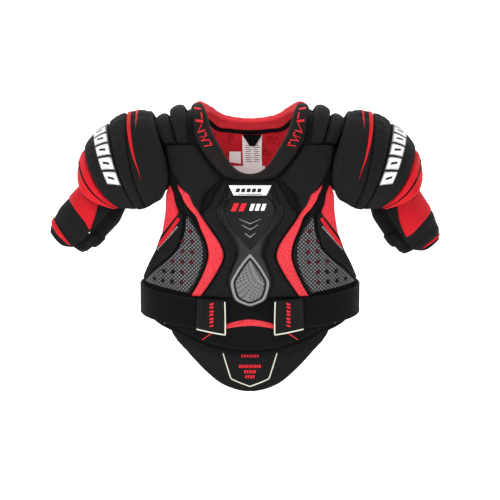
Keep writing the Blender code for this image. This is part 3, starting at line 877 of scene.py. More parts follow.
collarParts = {
    "layer": (-0.0140, 0.0050),
    "inner": [front(0.0, -0.061), front(0.017, -0.057), front(0.031, -0.045), front(0.045, -0.023),
              front(0.056, -0.003), front(0.066, 0.020), shoulder(0.077)],
    "outer": [front(0.0, -0.074), front(0.034, -0.069), front(0.054, -0.056), front(0.072, -0.034),
              front(0.085, -0.014), front(0.092, 0.004), shoulder(0.102)],
    "backTop": [rear(0.0, 0.023), rear(0.026, 0.025), rear(0.050, 0.032), (0.067, 1.16), (0.077, 1.014)],
    "backLow": [rear(0.0, 0.002), rear(0.036, 0.005), rear(0.062, 0.012), (0.086, 1.22), (0.102, 1.014)],
}


def buildCollars(use):
    panel("collarFront", between(mirrored(use["inner"]), mirrored(use["outer"])), (12, 120), use["layer"], neckCore,
          ["collarCloth"], "vest", edge=0.009, rim=0.15, crown=0.0010, ease=(0.4, 0.1),
          replaced=["front_collar"], inflate={"pressure": 3.0, "most": 0.0018})

    def creases(u, v):
        return 0.0006 * math.sin(34 * v + 3 * u) * math.sin(math.pi * u) + 0.0004 * math.sin(81 * v - 4 * u)

    panel("collarBack", between(mirrored(use["backTop"]), mirrored(use["backLow"])), (14, 96), use["layer"], neckCore,
          ["rollRed"], "vest", edge=0.009, rim=0.15, crown=0.0010, shape=creases, ease=(0.4, 0.1),
          replaced=["back_collar"], inflate={"pressure": 3.0, "most": 0.0020})


chest = {
    "padInner": fronts([(89.5, -15.5), (83, -24), (74.5, -36), (64.5, -49), (53, -61), (46, -67.5)]),
    "padOuter": fronts([(136, -17), (132.5, -40), (124.5, -62), (109.5, -86), (95, -109), (82, -124)]),
    "centre": fronts([(41.5, -72), (58, -97), (76, -126), (61, -151), (46.5, -173), (40.5, -189), (41.5, -202),
                      (51, -221), (64, -242), (78, -262)]),
    "trimInner": fronts([(107, -112), (92, -138), (83, -155), (74.5, -173), (70.5, -190), (72, -205), (79.5, -224),
                         (89.5, -244), (100, -262)]),
    "trimOuter": fronts([(108, -114), (98.5, -136), (90, -150), (81, -166), (77, -184), (77.5, -203), (84, -223),
                         (92, -241), (104, -258)]),
    "accentInner": fronts([(116, -82), (106.5, -90), (92, -109), (80.5, -128.5), (65, -151), (50, -172), (43.5, -189),
                           (44.5, -202), (54, -221), (67, -242), (81, -262)]),
    "accentOuter": fronts([(118.5, -80), (113, -94), (101.5, -116), (88, -130.5), (80.5, -151), (72, -170),
                           (68, -188), (69, -203), (76, -222), (86, -243), (97, -262)]),
    "meshInner": fronts([(102, -132), (91, -148), (80.5, -166), (75.5, -184), (77, -205), (85, -230), (103, -257)]),
    "meshOuter": fronts([(103, -131), (107, -158), (116, -182), (134, -203), (157, -222), (178, -246)]),
    "wingInner": fronts([(110, -126), (111, -150), (118, -178), (135.5, -200), (158, -219.5), (178.5, -248)]),
    "wingOuter": fronts([(116, -126), (133, -146), (147, -164), (156, -188), (168, -213), (179.5, -240)]),
    "gussetInner": fronts([(131, -82), (124, -104), (117.5, -126), (130, -145), (143, -162)]),
    "gussetOuter": fronts([(132, -82), (138, -100), (139, -122), (142, -145), (145, -163)]),
}


def buildChest(use):
    panel("centrePad", bothSides(use["centre"]), (52, 64), (-0.0040, 0.0046), vestCore, ["padCloth"], "vest",
          edge=0.007, rim=0.2, ease=(0.2, 0.2), replaced=["centre_pad"],
          inflate={"pressure": 2.0, "most": 0.0012})
    for name, side in sides.items():
        panel(f"{name}ChestPad", between(use["padInner"], use["padOuter"]), (20, 36), (-0.0040, 0.0046), vestCore,
              ["padCloth"], "vest", side, edge=0.007, rim=0.2, crown=0.0012, ease=(0.3, 0.3),
              replaced=[f"{name}_chest_pad"], inflate={"pressure": 3.5, "most": 0.0022})
        panel(f"{name}Accent", between(use["accentInner"], use["accentOuter"]), (10, 60), (-0.0036, 0.0010), vestCore,
              ["accent"], "vest", side, edge=0.0022, rim=0.4, crown=0.0012,
              replaced=[f"{name}_chest_accent"])
        panel(f"{name}MeshTrim", between(use["trimInner"], use["trimOuter"]), (6, 54), (-0.0036, 0.0012), vestCore,
              ["padCloth"], "vest", side, edge=0.0028, rim=0.25, crown=0.0008)
        panel(f"{name}SideMesh", between(use["meshInner"], use["meshOuter"]), (30, 54), (-0.0036, 0.0004), vestCore,
              ["sideMesh"], "vest", side, edge=0.0015, rim=0.5, ease=(0, 0),
              replaced=[f"{name}_side_mesh"])
        panel(f"{name}SideWing", between(use["wingInner"], use["wingOuter"]), (10, 44), (-0.0036, 0.0010), vestCore,
              ["ribbed"], "vest", side, edge=0.002, rim=0.5, crown=0.0006,
              replaced=[f"{name}_side_wing"])
        panel(f"{name}RedGusset", between(use["gussetInner"], use["gussetOuter"]), (8, 30), (-0.0036, 0.0012),
              vestCore, ["gusset"], "vest", side, edge=0.002, rim=0.5, crown=0.0008,
              replaced=[f"{name}_red_gusset"])
    arcTop = fronts([(0, -299), (30, -304), (52, -313), (66, -323), (80, -333.5)])
    arcLow = fronts([(0, -310), (30, -313), (52, -319), (66, -326), (79.5, -335)])
    panel("hemArc", between(mirrored(arcTop), mirrored(arcLow)), (4, 60), (-0.0046, -0.0026), vestCore, ["accent"],
          "vest",
          edge=0.0015, rim=0.5, ease=(0.2, 0), replaced=["hem_arc"])


sternum = {
    "plate": fronts([(36, -78), (43, -96), (52, -118), (48, -138), (35, -160), (25, -182), (25, -197), (36, -226),
                     (36.5, -240), (29, -262), (3, -277)]),
    "shield": fronts([(28, -97), (36, -105), (40.5, -120), (34, -137), (22, -157), (10, -174), (1.5, -182)]),
    "frame": fronts([(25, -158), (18, -177), (18.5, -191), (26, -209), (33.5, -233), (29, -257), (23.5, -267),
                     (3, -276.5)]),
    "bezel": fronts([(1.5, -190), (13.5, -205), (24, -222), (30.5, -237), (26.5, -257), (20, -267), (3, -274)]),
    "gap": fronts([(1.2, -195.5), (11, -208), (21, -224), (26.5, -237), (22.5, -256), (17, -264), (3, -270.5)]),
    "insert": fronts([(1.2, -200), (9, -211), (18, -225.5), (23, -237), (19.5, -254), (14.5, -261), (3, -267)]),
    "badge": fronts([(34, -78.5), (26, -95)]),
    "plateHeight": 0.0062,
    # tip z, half width and slope in millimetres, height in metres
    "chevrons": [(-141.0, 17, 0.48, 0.0010), (-150.5, 13, 0.60, 0.0010), (-163.0, 9, 0.85, 0.0012)],
}


def ridgeAcross(value, at, width):
    return math.exp(-(((value - at) / width) ** 2))


def between01(value):
    return min(max(value, 0.0), 1.0)


def buildSternum(use):
    base = use["plateHeight"]

    def plateRelief(u, v):
        # nested ridges follow the outline
        out = abs(2 * u - 1)
        relief = 0.0013 * ridgeAcross(out, 0.95, 0.030) - 0.0010 * ridgeAcross(out, 0.885, 0.025)
        return relief + 0.0011 * ridgeAcross(out, 0.82, 0.028)

    panel("breastPlate", bothSides(use["plate"]), (96, 100), (base, base + 0.0030), vestCore, ["plastic"], "vest",
          edge=0.003, rim=0.2, shape=plateRelief, ease=(0.0, 0.0), replaced=["sternum_plate"])
    shieldPlace = bothSides(use["shield"])

    def shieldRelief(u, v):
        spot = shieldPlace(u, v)
        x, z = abs(spot.x) * 1000, spot.z * 1000
        relief = 0.0009 * (1 - (2 * u - 1) ** 2)
        for tip, half, slope, high in use["chevrons"]:
            drop = z - (tip + slope * x)
            fade = between01((half - x) / 5)
            relief += high * fade * ((0.0 if drop < 0 else math.exp(-drop / 2.2)) - 0.55 * ridgeAcross(drop, -2.0,
                                                                                                       1.3))
        return relief - 0.0007 * ridgeAcross(x, 0, 0.5) * between01((z + 178) / 2) * between01((-166 - z) / 2)

    panel("breastShield", shieldPlace, (84, 110), (base + 0.0034, base + 0.0060), vestCore, ["plastic"], "vest",
          edge=0.004, rim=0.15, shape=shieldRelief, ease=(0.0, 0.0),
          replaced=["sternum_shield"])

    def rings(u, v):
        out = abs(2 * u - 1)
        return 0.0006 * ridgeAcross(out, 0.95, 0.03) - 0.0007 * ridgeAcross(out, 0.89, 0.02)

    panel("breastFrame", bothSides(use["frame"]), (72, 80), (base + 0.0026, base + 0.0042), vestCore, ["frameGrey"],
          "vest",
          edge=0.002, rim=0.2, shape=rings, ease=(0, 0), replaced=["sternum_frame"])
    panel("breastBezel", bothSides(use["bezel"]), (48, 60), (base + 0.0044, base + 0.0060), vestCore, ["bezel"],
          "vest",
          edge=0.0022, rim=0.2)
    panel("breastGap", bothSides(use["gap"]), (40, 52), (base + 0.0061, base + 0.0064), vestCore, ["plastic"], "vest",
          edge=0.0004, rim=0.5)
    panel("breastInsert", bothSides(use["insert"]), (40, 52), (base + 0.0065, base + 0.0082), vestCore, ["speckled"],
          "vest",
          edge=0.0025, rim=0.2, crown=0.0010, replaced=["sternum_insert"])
    panel("breastBadge", bothSides(use["badge"]), (36, 10), (base + 0.0034, base + 0.0052), vestCore, ["badge"],
          "vest",
          edge=0.002, rim=0.3, crown=0.0006, ease=(0.3, 0.3), replaced=["sternum_badge"])


backParts = {
    "bladeInner": rears([(30, -30), (32, -90), (34, -150), (30, -196)]),
    "bladeOuter": rears([(100, -24), (124, -80), (118, -140), (92, -190)]),
    "lower": rears([(70, -212), (94, -236), (88, -272), (50, -300)]),
    "channels": (0.27, 0.52, 0.76),
    "spineEdge": [(0.011, -0.097), (0.0235, -0.111), (0.0240, -0.140), (0.0240, -0.170), (0.019, -0.199),
                  (0.0095, -0.205)],
}


def buildBack(use):
    for name, side in sides.items():
        panel(f"{name}BladePad", between(use["bladeInner"], use["bladeOuter"]), (28, 44), (-0.0040, 0.0046), vestCore,
              ["padCloth"], "vest", side, edge=0.007, rim=0.2, crown=0.0015, ease=(0.2, 0.2),
              replaced=[f"{name}_blade_pad"], inflate={"pressure": 3.0, "most": 0.0022})
    panel("lowerBackPad", bothSides(use["lower"]), (44, 28), (-0.0040, 0.0046), vestCore, ["padCloth"], "vest",
          edge=0.007, rim=0.2, crown=0.0015, ease=(0.2, 0.2), replaced=["lower_back_pad"],
          inflate={"pressure": 3.0, "most": 0.0022})
    edge = use["spineEdge"]

    def spine(u, v):
        half, _, z = along([(w, 0, z) for w, z in edge], v)
        return Vector(((2 * u - 1) * half, 0.1186, z))

    def ribs(u, v):
        # chevron ribs down the middle, a step round the rim
        out = abs(2 * u - 1)
        wave = math.sin(2 * math.pi * (7 * v - 0.75 * out))
        middle = between01((0.78 - out) / 0.10) * between01(min(v - 0.07, 0.93 - v) / 0.05)
        return 0.0009 * wave * middle - 0.0008 * ridgeAcross(out, 0.86, 0.04)

    panel("spineGuard", spine, (48, 96), (0.0, 0.0058), vestCore, ["satin"], "vest", edge=0.003, rim=0.3,
          crown=0.0010,
          shape=ribs, ease=(0.2, 0.0), replaced=["spine_plate"])


bellyParts = {
    "edge": fronts([(120, -240), (139, -278), (149, -308), (146, -323), (135, -339), (116, -356), (91, -379),
                    (72, -395), (52, -409), (28, -418.5), (4, -423)]),
    "layer": (-0.0260, -0.0180),
}


def buildBelly(use):
    panel("bellyPad", bothSides(use["edge"]), (84, 60), use["layer"], vestCore, ["capCloth", "liner"], "belly_pad",
          edge=0.006, rim=0.25, ease=(0.25, 0.25), replaced=["belly_pad"],
          inflate={"pressure": 2.0, "most": 0.0012})


strapParts = {"top": -0.251, "sag": 0.014, "width": 0.052, "layer": (0.0016, 0.0044)}


def strapPoint(turn, share):
    sag = strapParts["sag"] * math.cos(math.radians(min(turn, 90))) ** 2
    return girthPoint(turn, strapParts["top"] - sag - strapParts["width"] * share)


def buildStraps(use):
    for name, side in sides.items():
        panel(f"{name}SideStrap", lambda u, v: strapPoint(24 + 126 * v, u), (16, 90), use["layer"], vestCore,
              ["elastic"], "vest", side, edge=0.0012, rim=0.5, ease=(0.4, 0.0),
              replaced=[f"{name}_side_strap"])
        inner = fronts([(39, -266), (38, -327)])
        outer = fronts([(85, -264), (87, -317)])
        panel(f"{name}BellyTab", between(inner, outer), (20, 24), (0.0054, 0.0086), vestCore, ["tab"],
              f"{name}_belly_tab", side, edge=0.0022, rim=0.45, ease=(0.4, 0.4),
              replaced=[f"{name}_strap_tab"])


tagParts = {
    "labelInner": rears([(-14, -3), (-13.5, -35), (-12, -67)]),
    "labelOuter": rears([(22, -3), (21, -35), (22, -67)]),
    "loopInner": rears([(-14, -1), (-1, -24)]),
    "loopOuter": rears([(22, -1), (9, -24)]),
    "fold": 0.42,
}


def buildTags(use):
    panel("careLabel", between(use["labelInner"], use["labelOuter"]), (14, 26), (-0.0165, -0.0153), neckCore,
          ["label"], ("vest", "label", Vector((0.004, 0.0905, -0.006)), Vector((0.004, 0.0905, -0.017))),
          edge=0.0004, rim=0.6, ease=(0, 0), replaced=["care_label"])
    loop = between(use["loopInner"], use["loopOuter"])
    # the sewn root stays on the vest, the rest folds up with the loop
    panel("loopRoot", lambda u, v: loop(u, v * use["fold"]), (12, 6), (-0.0202, -0.0178), neckCore, ["binding"],
          "vest", edge=0.0006, rim=0.8, ease=(0.3, 0))
    panel("hangLoop", lambda u, v: loop(u, use["fold"] + 0.01 + (0.99 - use["fold"]) * v), (12, 8),
          (-0.0202, -0.0178), neckCore,
          ["binding"], "loop", edge=0.0006, rim=0.8, ease=(0.3, 0), replaced=["hang_loop"])


floatParts = {
    "inner": ((0.099, 0.108), (0.118, 0.134)), "outer": ((0.1205, 0.1365), (0.1400, 0.1590)), "low": -0.014,
}


def floatPlace(edges):
    (lowA, topA), (lowB, topB) = edges
    start, end = front(lowA, floatParts["low"]), front(lowB, floatParts["low"])

    def place(u, v):
        bend = math.sin(math.pi * v)
        x = lowA + (topA - lowA) * bend
        far = lowB + (topB - lowB) * bend
        first = start[1] + (end[1] - start[1]) * u
        return vestPoint(x + (far - x) * u, first + (2 - 2 * first) * v)

    return place


def channels(u, v):
    return -0.0014 * (ridgeAcross(v, 0.035, 0.010) + ridgeAcross(v, 0.965, 0.010))


def buildFloats(use):
    for name, side in sides.items():
        for which in ("inner", "outer"):
            panel(f"{name}{which.title()}Float", floatPlace(use[which]), (12, 90), (-0.0026, 0.0070), neckCore,
                  ["capCloth"], f"{name}_float_{which}", side, edge=0.0085, rim=0.12, crown=0.0016, shape=channels,
                  ease=(0.3, 0.3), replaced=[f"{name}_{which}_float"],
                  inflate={"pressure": 3.0, "most": 0.0014})


capParts = {
    "panel": (0.0, 1.125, -0.0090, 0.0006, "capCloth", 0.0042),
    "band": (1.125, 2.06, -0.0090, 0.0009, "capCloth", 0.0034),
    "shell": (2.075, 3.12, -0.0090, 0.0, "capCloth", 0.0042),
    "rim": (3.15, 4.0, -0.0090, 0.0, "redCloth", 0.0055),
}


def capPatch(first, last, start=0.0, end=1.0):
    return lambda u, v: capPoint(first + (last - first) * u, start + (end - start) * v)


def buildCaps(use):
    for name, side in sides.items():
        for part, (first, last, low, high, material, edge) in use.items():
            panel(f"{name}Cap{part.title()}", capPatch(first, last), (18, 110), (low, high), capCore,
                  [material, "liner"], f"{name}_cap", side, edge=edge, rim=0.35, crown=0.0008, ease=(0.35, 0.3),
                  replaced=[f"{name}_cap_{part}"],
                  inflate={"pressure": 2.5, "most": 0.0014})
        panel(f"{name}CapLiner", capPatch(0.25, 3.75), (36, 60), (-0.0132, -0.0105), capCore, ["satin"],
              f"{name}_cap",
              side, edge=0.001, rim=0.5, ease=(0, 0), replaced=[f"{name}_cap_liner"])


def armPatch(start, end, first, last):
    return lambda u, v: armPoint(start + (end - start) * u, first + (last - first) * v)


def guardPatch(u, v):
    # the lower corners of the guard are rounded
    turn = -112 + 224 * v
    short = 0.15 * between01((abs(turn) - 84) / 28) ** 2.2
    return armPoint(u * (1 - short), turn)


def rolledEdge(u, v):
    return 0.0010 * ridgeAcross(u, 0.975, 0.02) - 0.0010 * ridgeAcross(u, 0.935, 0.012)


def armStrapPlace(u, v):
    # leaves the guard's edges and lies closer to the sleeve between them
    share = 0.56 + 0.20 * u
    spot = armPoint(share, 117 + 126 * v)
    axis = arm["start"] + armAxes()[0] * (arm["length"] * share)
    return spot + (axis - spot).normalized() * (0.0052 * between01(min(v, 1 - v) / 0.16))


def hangerPlace(u, v):
    low, high = Vector((0.2600, 0, -0.0580)), Vector((0.2470, 0, -0.0380))
    return low.lerp(high, u) + Vector((0, (v - 0.5) * 0.030, 0))


def buildArms():
    for name, side in sides.items():
        turn = arm["turn"][side]
        body = f"{name}_arm"
        panel(f"{name}ArmGuard", guardPatch, (40, 84), (-0.0090, 0.0), armCore,
              ["capCloth", "liner"], body, side, turn, edge=0.005, rim=0.25, shape=rolledEdge, ease=(0.2, 0.2),
              replaced=[f"{name}_arm_guard"], inflate={"pressure": 2.0, "most": 0.0010})
        panel(f"{name}ArmSleeve", armPatch(0.04, 0.955, 100, 260), (30, 52), (-0.0114, -0.0094), armCore,
              ["liner"], body, side, turn, edge=0.001, rim=0.5, replaced=[f"{name}_arm_sleeve"])
        panel(f"{name}ArmStrap", armStrapPlace, (8, 40), (-0.0034, -0.0012), armCore,
              ["elastic"], body, side, turn, edge=0.001, rim=0.5, replaced=[f"{name}_arm_strap"])
        panel(f"{name}ArmHanger", hangerPlace, (8, 12), (-0.0012, 0.0012), Vector((0.2, 0, -0.09)), ["elastic"],
              f"{name}_arm_link", side, edge=0.0008, rim=0.5, replaced=[f"{name}_arm_hanger"])


buildLiners(linerParts)
buildCollars(collarParts)
buildChest(chest)
buildSternum(sternum)
buildBack(backParts)
buildBelly(bellyParts)
buildStraps(strapParts)
buildTags(tagParts)
buildFloats(floatParts)
buildCaps(capParts)
buildArms()
print("base pieces:", len(made))

filling = {"frames": 20, "quality": 5, "mass": 0.25, "tension": 12.0, "shear": 5.0, "bending": 0.4}
fillPads(filling)
print("pads filled:", len(softPieces))


# from here on: seams, piping and marks, laid on the finished covers
def discs(name, spots, radius, body, material, on, side=1, lift=0.0002, place=vestPoint, core=vestCore, turn=0.0):
    # small round marks: eyelets, holes and rivet heads
    bm = bmesh.new()
    uv = bm.loops.layers.uv.new("cloth")
    for a, b in spots:
        path = route(place, [(a, b - 0.001), (a, b + 0.001)], 0.01, core, side, turn, onto=on, lift=lift)
        point, tilt = path[0][1], path[1][1]
        basis = Vector(tilt).to_track_quat("Z", "Y").to_matrix().to_4x4()
        ring = bmesh.ops.create_circle(
            bm, segments=20, radius=radius, cap_ends=True, matrix=Matrix.Translation(Vector(point)) @ basis
        )["verts"]
        faces = list({f for v in ring for f in v.link_faces})
        raised = bmesh.ops.extrude_face_region(bm, geom=faces)["geom"]
        top = [v for v in raised if isinstance(v, bmesh.types.BMVert)]
        bmesh.ops.translate(bm, verts=top, vec=Vector(tilt) * 0.0005)
        centre = Vector(point) + Vector(tilt) * 0.0005
        bmesh.ops.scale(bm, vec=(0.86, 0.86, 0.86), verts=top, space=Matrix.Translation(-centre))
    bmesh.ops.recalc_face_normals(bm, faces=bm.faces)
    for face in bm.faces:
        for loop in face.loops:
            loop[uv].uv = (loop.vert.co.x, loop.vert.co.z)
    return addPiece(name, bm, [material], body, angle=30)


capSeams = {
    "flange": [(0.20, 0.52), (0.18, 0.36), (0.19, 0.26), (0.21, 0.155), (0.27, 0.095), (0.50, 0.062), (1.10, 0.040)],
    "backFlange": [(0.20, 0.48), (0.18, 0.64), (0.19, 0.74), (0.21, 0.845), (0.27, 0.905), (0.50, 0.938),
                   (1.10, 0.960)],
    "stripeInner": [(0.985, 0.82), (0.91, 0.66), (0.86, 0.51), (0.89, 0.36), (0.89, 0.27), (0.86, 0.20),
                    (0.82, 0.155), (0.795, 0.112)],
    "stripeOuter": [(0.995, 0.82), (1.06, 0.66), (1.08, 0.51), (1.06, 0.36), (1.01, 0.27), (0.93, 0.20),
                    (0.852, 0.155), (0.80, 0.112)],
    "shortInner": [(0.62, 0.70), (0.565, 0.60), (0.55, 0.525), (0.61, 0.40), (0.700, 0.320)],
    "shortOuter": [(0.63, 0.70), (0.645, 0.60), (0.655, 0.525), (0.675, 0.40), (0.705, 0.320)],
    "rimLineInner": [(3.30, 0.005), (3.40, 0.10), (3.46, 0.25), (3.46, 0.5), (3.46, 0.75), (3.40, 0.90),
                     (3.30, 0.995)],
    "rimLineOuter": [(3.38, 0.005), (3.48, 0.10), (3.54, 0.25), (3.54, 0.5), (3.54, 0.75), (3.48, 0.90),
                     (3.38, 0.995)],
    # a row of leaning blocks with a grey edge and a slit each, in place of a name.
    # slit: how far in from the ends, its low and top shares of the block, its share of the lean
    "blocks": {
        "first": 0.120, "step": 0.066, "count": 6, "ring": (2.17, 2.56), "high": 0.047, "lean": 0.020,
        "grow": 0.03, "rise": 0.0045, "slit": (0.09, 0.42, 0.66, 0.8),
    },
}


def trimCaps(use):
    for name, side in sides.items():
        body = f"{name}_cap"
        panelOn, shellOn, rimOn = [f"{name}CapPanel"], [f"{name}CapShell"], [f"{name}CapRim"]
        for which in ("flange", "backFlange"):
            groove(panelOn[0], route(capPoint, use[which], seamStep, capCore, side), 0.0022, 0.0022)
        rows = [route(capPoint, [(r - 0.045, v) for r, v in use[which]], stitchStep, capCore, side, onto=panelOn,
                      lift=onCover)
                for which in ("flange", "backFlange")]
        shellRow = [(2.16, v) for v in (0.03, 0.3, 0.5, 0.7, 0.97)]
        rows.append(route(capPoint, shellRow, stitchStep, capCore, side, onto=shellOn, lift=onCover))
        stitchRow(f"{name}CapStitch", rows, body)
        for part, outline, cells, finish, on, slot in (
            ("LongStripe", "stripe", (4, 70), "redCloth", panelOn, "red_fabric"),
            ("ShortStripe", "short", (2, 40), "redCloth", panelOn, "red_fabric"),
            ("RimLine", "rimLine", (2, 90), "binding", rimOn, "cap_cover"),
        ):
            edges = (use[f"{outline}Inner"], use[f"{outline}Outer"])
            decal(name + part, capPoint, edges, cells, body, finish, capCore, on, side)
        blocks = use["blocks"]
        low, high = blocks["ring"]
        lean, tall, grow, rise = blocks["lean"], blocks["high"], blocks["grow"], blocks["rise"]
        slitIn, slitLow, slitTop, slitLean = blocks["slit"]
        marks, edges, slits = [], [], []
        for k in range(blocks["count"]):
            at = blocks["first"] + blocks["step"] * k
            marks.append(((low, at), (low, at + tall), (high, at + tall + lean), (high, at + lean)))
            slits.append(((low + slitIn, at + tall * slitLow), (low + slitIn, at + tall * slitTop),
                          (high - slitIn, at + tall * slitTop + lean * slitLean),
                          (high - slitIn, at + tall * slitLow + lean * slitLean)))
            edges.append(((low - grow, at - rise), (low - grow, at + tall + rise),
                          (high + grow, at + tall + lean + rise), (high + grow, at + lean - rise)))
        for part, shapes, finish, lift, thick, cells in (
            ("CapBlockEdges", edges, "printGrey", 0.0002, 0.0004, (6, 8)),
            ("CapBlocks", marks, "printWhite", 0.0007, 0.0005, (6, 8)),
            ("CapBlockSlits", slits, "printBlack", 0.0012, 0.0004, (4, 3)),
        ):
            decalSet(name + part, capPoint, shapes, body, finish, capCore, shellOn, side, lift=lift, thick=thick,
                     cells=cells)
        lowEdge = [(4.0, v) for v in (0.004, 0.25, 0.5, 0.75, 0.996)]
        edgePath = route(capPoint, lowEdge, hemStep, capCore, side, lift=-0.0070)
        cordOn(f"{name}RimBinding", [edgePath], 0.0022, body, "binding")


breastMarks = {
    # plain bars in place of a name and a number
    "red": [[(-25, -107), (-17, -107), (-22.5, -120), (-30.5, -120)],
            [(-13, -107), (-5, -107), (-10.5, -120), (-18.5, -120)]],
    "white": [[(2, -108), (8, -108), (4.5, -119), (-1.5, -119)], [(11, -108), (17, -108), (13.5, -119), (7.5, -119)],
              [(20, -108), (26, -108), (22.5, -119), (16.5, -119)]],
    "badgeLine": [[(x, -83.5), (x + 6.2, -83.5), (x + 4.6, -89.5), (x - 1.6, -89.5)]
                  for x in (-21.5, -13, -4.5, 4, 12.5)]
    + [[(-19, -92.2), (19, -92.2), (18.4, -93.3), (-18.4, -93.3)]],
    # tip z, half width, rise and thickness
    "chevrons": [(-141.0, 17, 8.0, 1.7), (-150.5, 13, 8.0, 2.0), (-163.0, 8.5, 7.0, 2.4)],
    # the groove in the padding round the plate
    "ring": [(44, -76), (50, -95), (58.5, -118), (54, -141), (40, -165), (31, -183), (31, -199), (42, -226),
             (43, -242), (37, -262)],
}


def trimBreast(use):
    on = ["breastShield", "breastPlate"]
    vestMarks("breastRedMarks", use["red"], "vest", "printRed", on)
    vestMarks("breastWhiteMarks", use["white"], "vest", "printWhite", on)
    vestMarks("badgeLines", use["badgeLine"], "vest", "printBlack", ["breastBadge"], cells=(3, 8))
    # the chevron bars take the bezel's pale grey: a painted highlight on the black chevrons
    bars = []
    for tip, half, rise, thick in use["chevrons"]:
        for sign in (1, -1):
            end = tip + rise
            bars.append([(0, tip), (0, tip + thick), (sign * half, end + thick * 0.5), (sign * half, end)])
    vestMarks("breastChevrons", bars, "vest", "bezel", ["breastShield"], lift=0.0002, thick=0.0012, cells=(4, 8))
    # thin grey cords along the shield's edges: painted highlights on the plate's ridges
    for grow, radius in ((1.13, 0.0007), (1.26, 0.0006)):
        line = [(x * grow, run) for x, run in sternum["shield"][1:-1]]
        for sign in (1, -1):
            path = route(vestPoint, [(sign * x, run) for x, run in line], seamStep, vestCore, onto=["breastPlate"],
                         lift=0.0002)
            label = f"plateHighlightLine{round(grow * 100)}{'L' if sign > 0 else 'R'}"
            cordOn(label, [path], radius, "vest", "frameGrey")
    for sign in (1, -1):
        groove("centrePad", drawn([(sign * x, z) for x, z in use["ring"]], seamStep), 0.0016, 0.0020)


chestMarks = {
    "redLine": ([(117.5, -133), (133, -155), (150.5, -178)], [(113.5, -136), (129, -160), (148, -184)]),
    "dashes": {"from": (118, -150), "to": (151, -188.5), "count": 14},
    "holes": {
        "red": [(97, -155), (94.5, -172), (110, -172), (94, -189), (110, -189), (95.5, -206), (111, -206),
                (126.5, -206), (111, -223), (112, -240)],
        "black": [(126.5, -223), (141.5, -223), (128, -240), (143.5, -239), (158, -238)],
        "radius": 0.0038,
    },
    # rows on the chest pad of each side, and one on the centre pad
    "stitches": [
        (None, [(49, -72.5), (64, -95), (80, -120)]),
        (None, [(107, -82), (93.5, -104), (83.5, -119)]),
        ("centrePad", [(63.5, -152), (49, -174), (44.5, -189), (46, -201), (58, -219), (71, -240), (82, -259)]),
    ],
}


def trimChest(use):
    for name, side in sides.items():
        wing, net = [f"{name}SideWing", "vestFront"], [f"{name}SideMesh"]
        decal(f"{name}WingRedLine", vestPoint, [fronts(edge) for edge in use["redLine"]], (3, 30), "vest", "redCloth",
              vestCore, wing, side)
        (x0, z0), (x1, z1), gaps = use["dashes"]["from"], use["dashes"]["to"], use["dashes"]["count"] - 1
        marks = []
        for k in range(gaps + 1):
            x, z = x0 + (x1 - x0) * k / gaps, z0 + (z1 - z0) * k / gaps
            marks.append([(x - 1.3, z + 0.6), (x + 0.9, z + 2.2), (x + 1.9, z + 0.9), (x - 0.3, z - 0.7)])
        vestMarks(f"{name}WingDashes", marks, "vest", "printGrey", wing, side, cells=(1, 2))
        # the mesh's holes are dark discs: partly the red and black fabric behind, partly painted shade in the
        # openings
        for colour, finish in (("red", "holeRed"), ("black", "hole")):
            spots = fronts(use["holes"][colour])
            for x, run in spots:
                groove(net[0], route(vestPoint, [(x, run), (x + 1e-4, run)], 0.01, vestCore, side), 0.0006, 0.0040)
            discs(f"{name}Holes{colour.title()}", spots, use["holes"]["radius"], "vest", finish, net, side)
        rows = [drawn(points, stitchStep, side, onto=[pad or f"{name}ChestPad"], lift=onCover) for pad,
                points in use["stitches"]]
        stitchRow(f"{name}ChestStitch", rows, "vest")


hemParts = {"radius": 0.0030, "flat": 0.55}


def trimHems(use):
    # folded binding along the free edges of the vest
    hem = mirrored(linerParts["hem"][:7])
    paths = [route(vestPoint, hem, hemStep, vestCore, lift=-0.0052)]
    for side in sides.values():
        for edge in (linerParts["hem"][6:], linerParts["backHem"][4:]):
            paths.append(route(vestPoint, edge, hemStep, vestCore, side, lift=-0.0060))
    paths.append(route(vestPoint, mirrored(linerParts["backHem"][:5]), hemStep, vestCore, lift=-0.0060))
    cordOn("hemBinding", paths, use["radius"], "vest", "binding", flat=use["flat"])
    rows = [route(vestPoint, [(x * 0.985, run + 0.0065) for x, run in hem], longStitch, vestCore, onto=["vestFront"],
                  lift=onCover)]
    stitchRow("hemStitch", rows, "vest")


def trimNeck():
    collar = between(mirrored(collarParts["inner"]), mirrored(collarParts["outer"]))
    for name, side in sides.items():
        marks = []
        for k in range(6):
            at = 0.790 + 0.033 * k
            marks.append(((0.30, at), (0.30, at + 0.0055), (0.72, at + 0.0155), (0.72, at + 0.010)))
        for k in range(5):
            at = 0.790 + 0.033 * k
            marks.append(((0.68, at + 0.0115), (0.68, at + 0.016), (0.36, at + 0.036),
                          (0.36, at + 0.0315)) if k % 2 else
                         ((0.30, at + 0.0075), (0.30, at + 0.026), (0.37, at + 0.026), (0.37, at + 0.0095)))
        decalSet(f"{name}CollarMarks", collar, marks, "vest", "printRed", neckCore, ["collarFront"], side,
                 cells=(6, 2))
    seam = route(vestPoint, mirrored(collarParts["outer"]), hemStep, neckCore, lift=-0.0068)
    cordOn("collarSeam", [seam], 0.0034, "vest", "binding")
    # black binding under the red roll, on the inside of the neck
    low = mirrored(collarParts["backLow"])
    path = route(vestPoint, low, hemStep, neckCore, lift=-0.0135)
    cordOn("neckBinding", [path], 0.0044, "vest", "binding", flat=0.6)
    rows = [route(vestPoint, [(x, run + 0.012) for x, run in low], longStitch, neckCore, lift=-0.0146)]
    stitchRow("neckStitch", rows, "vest")


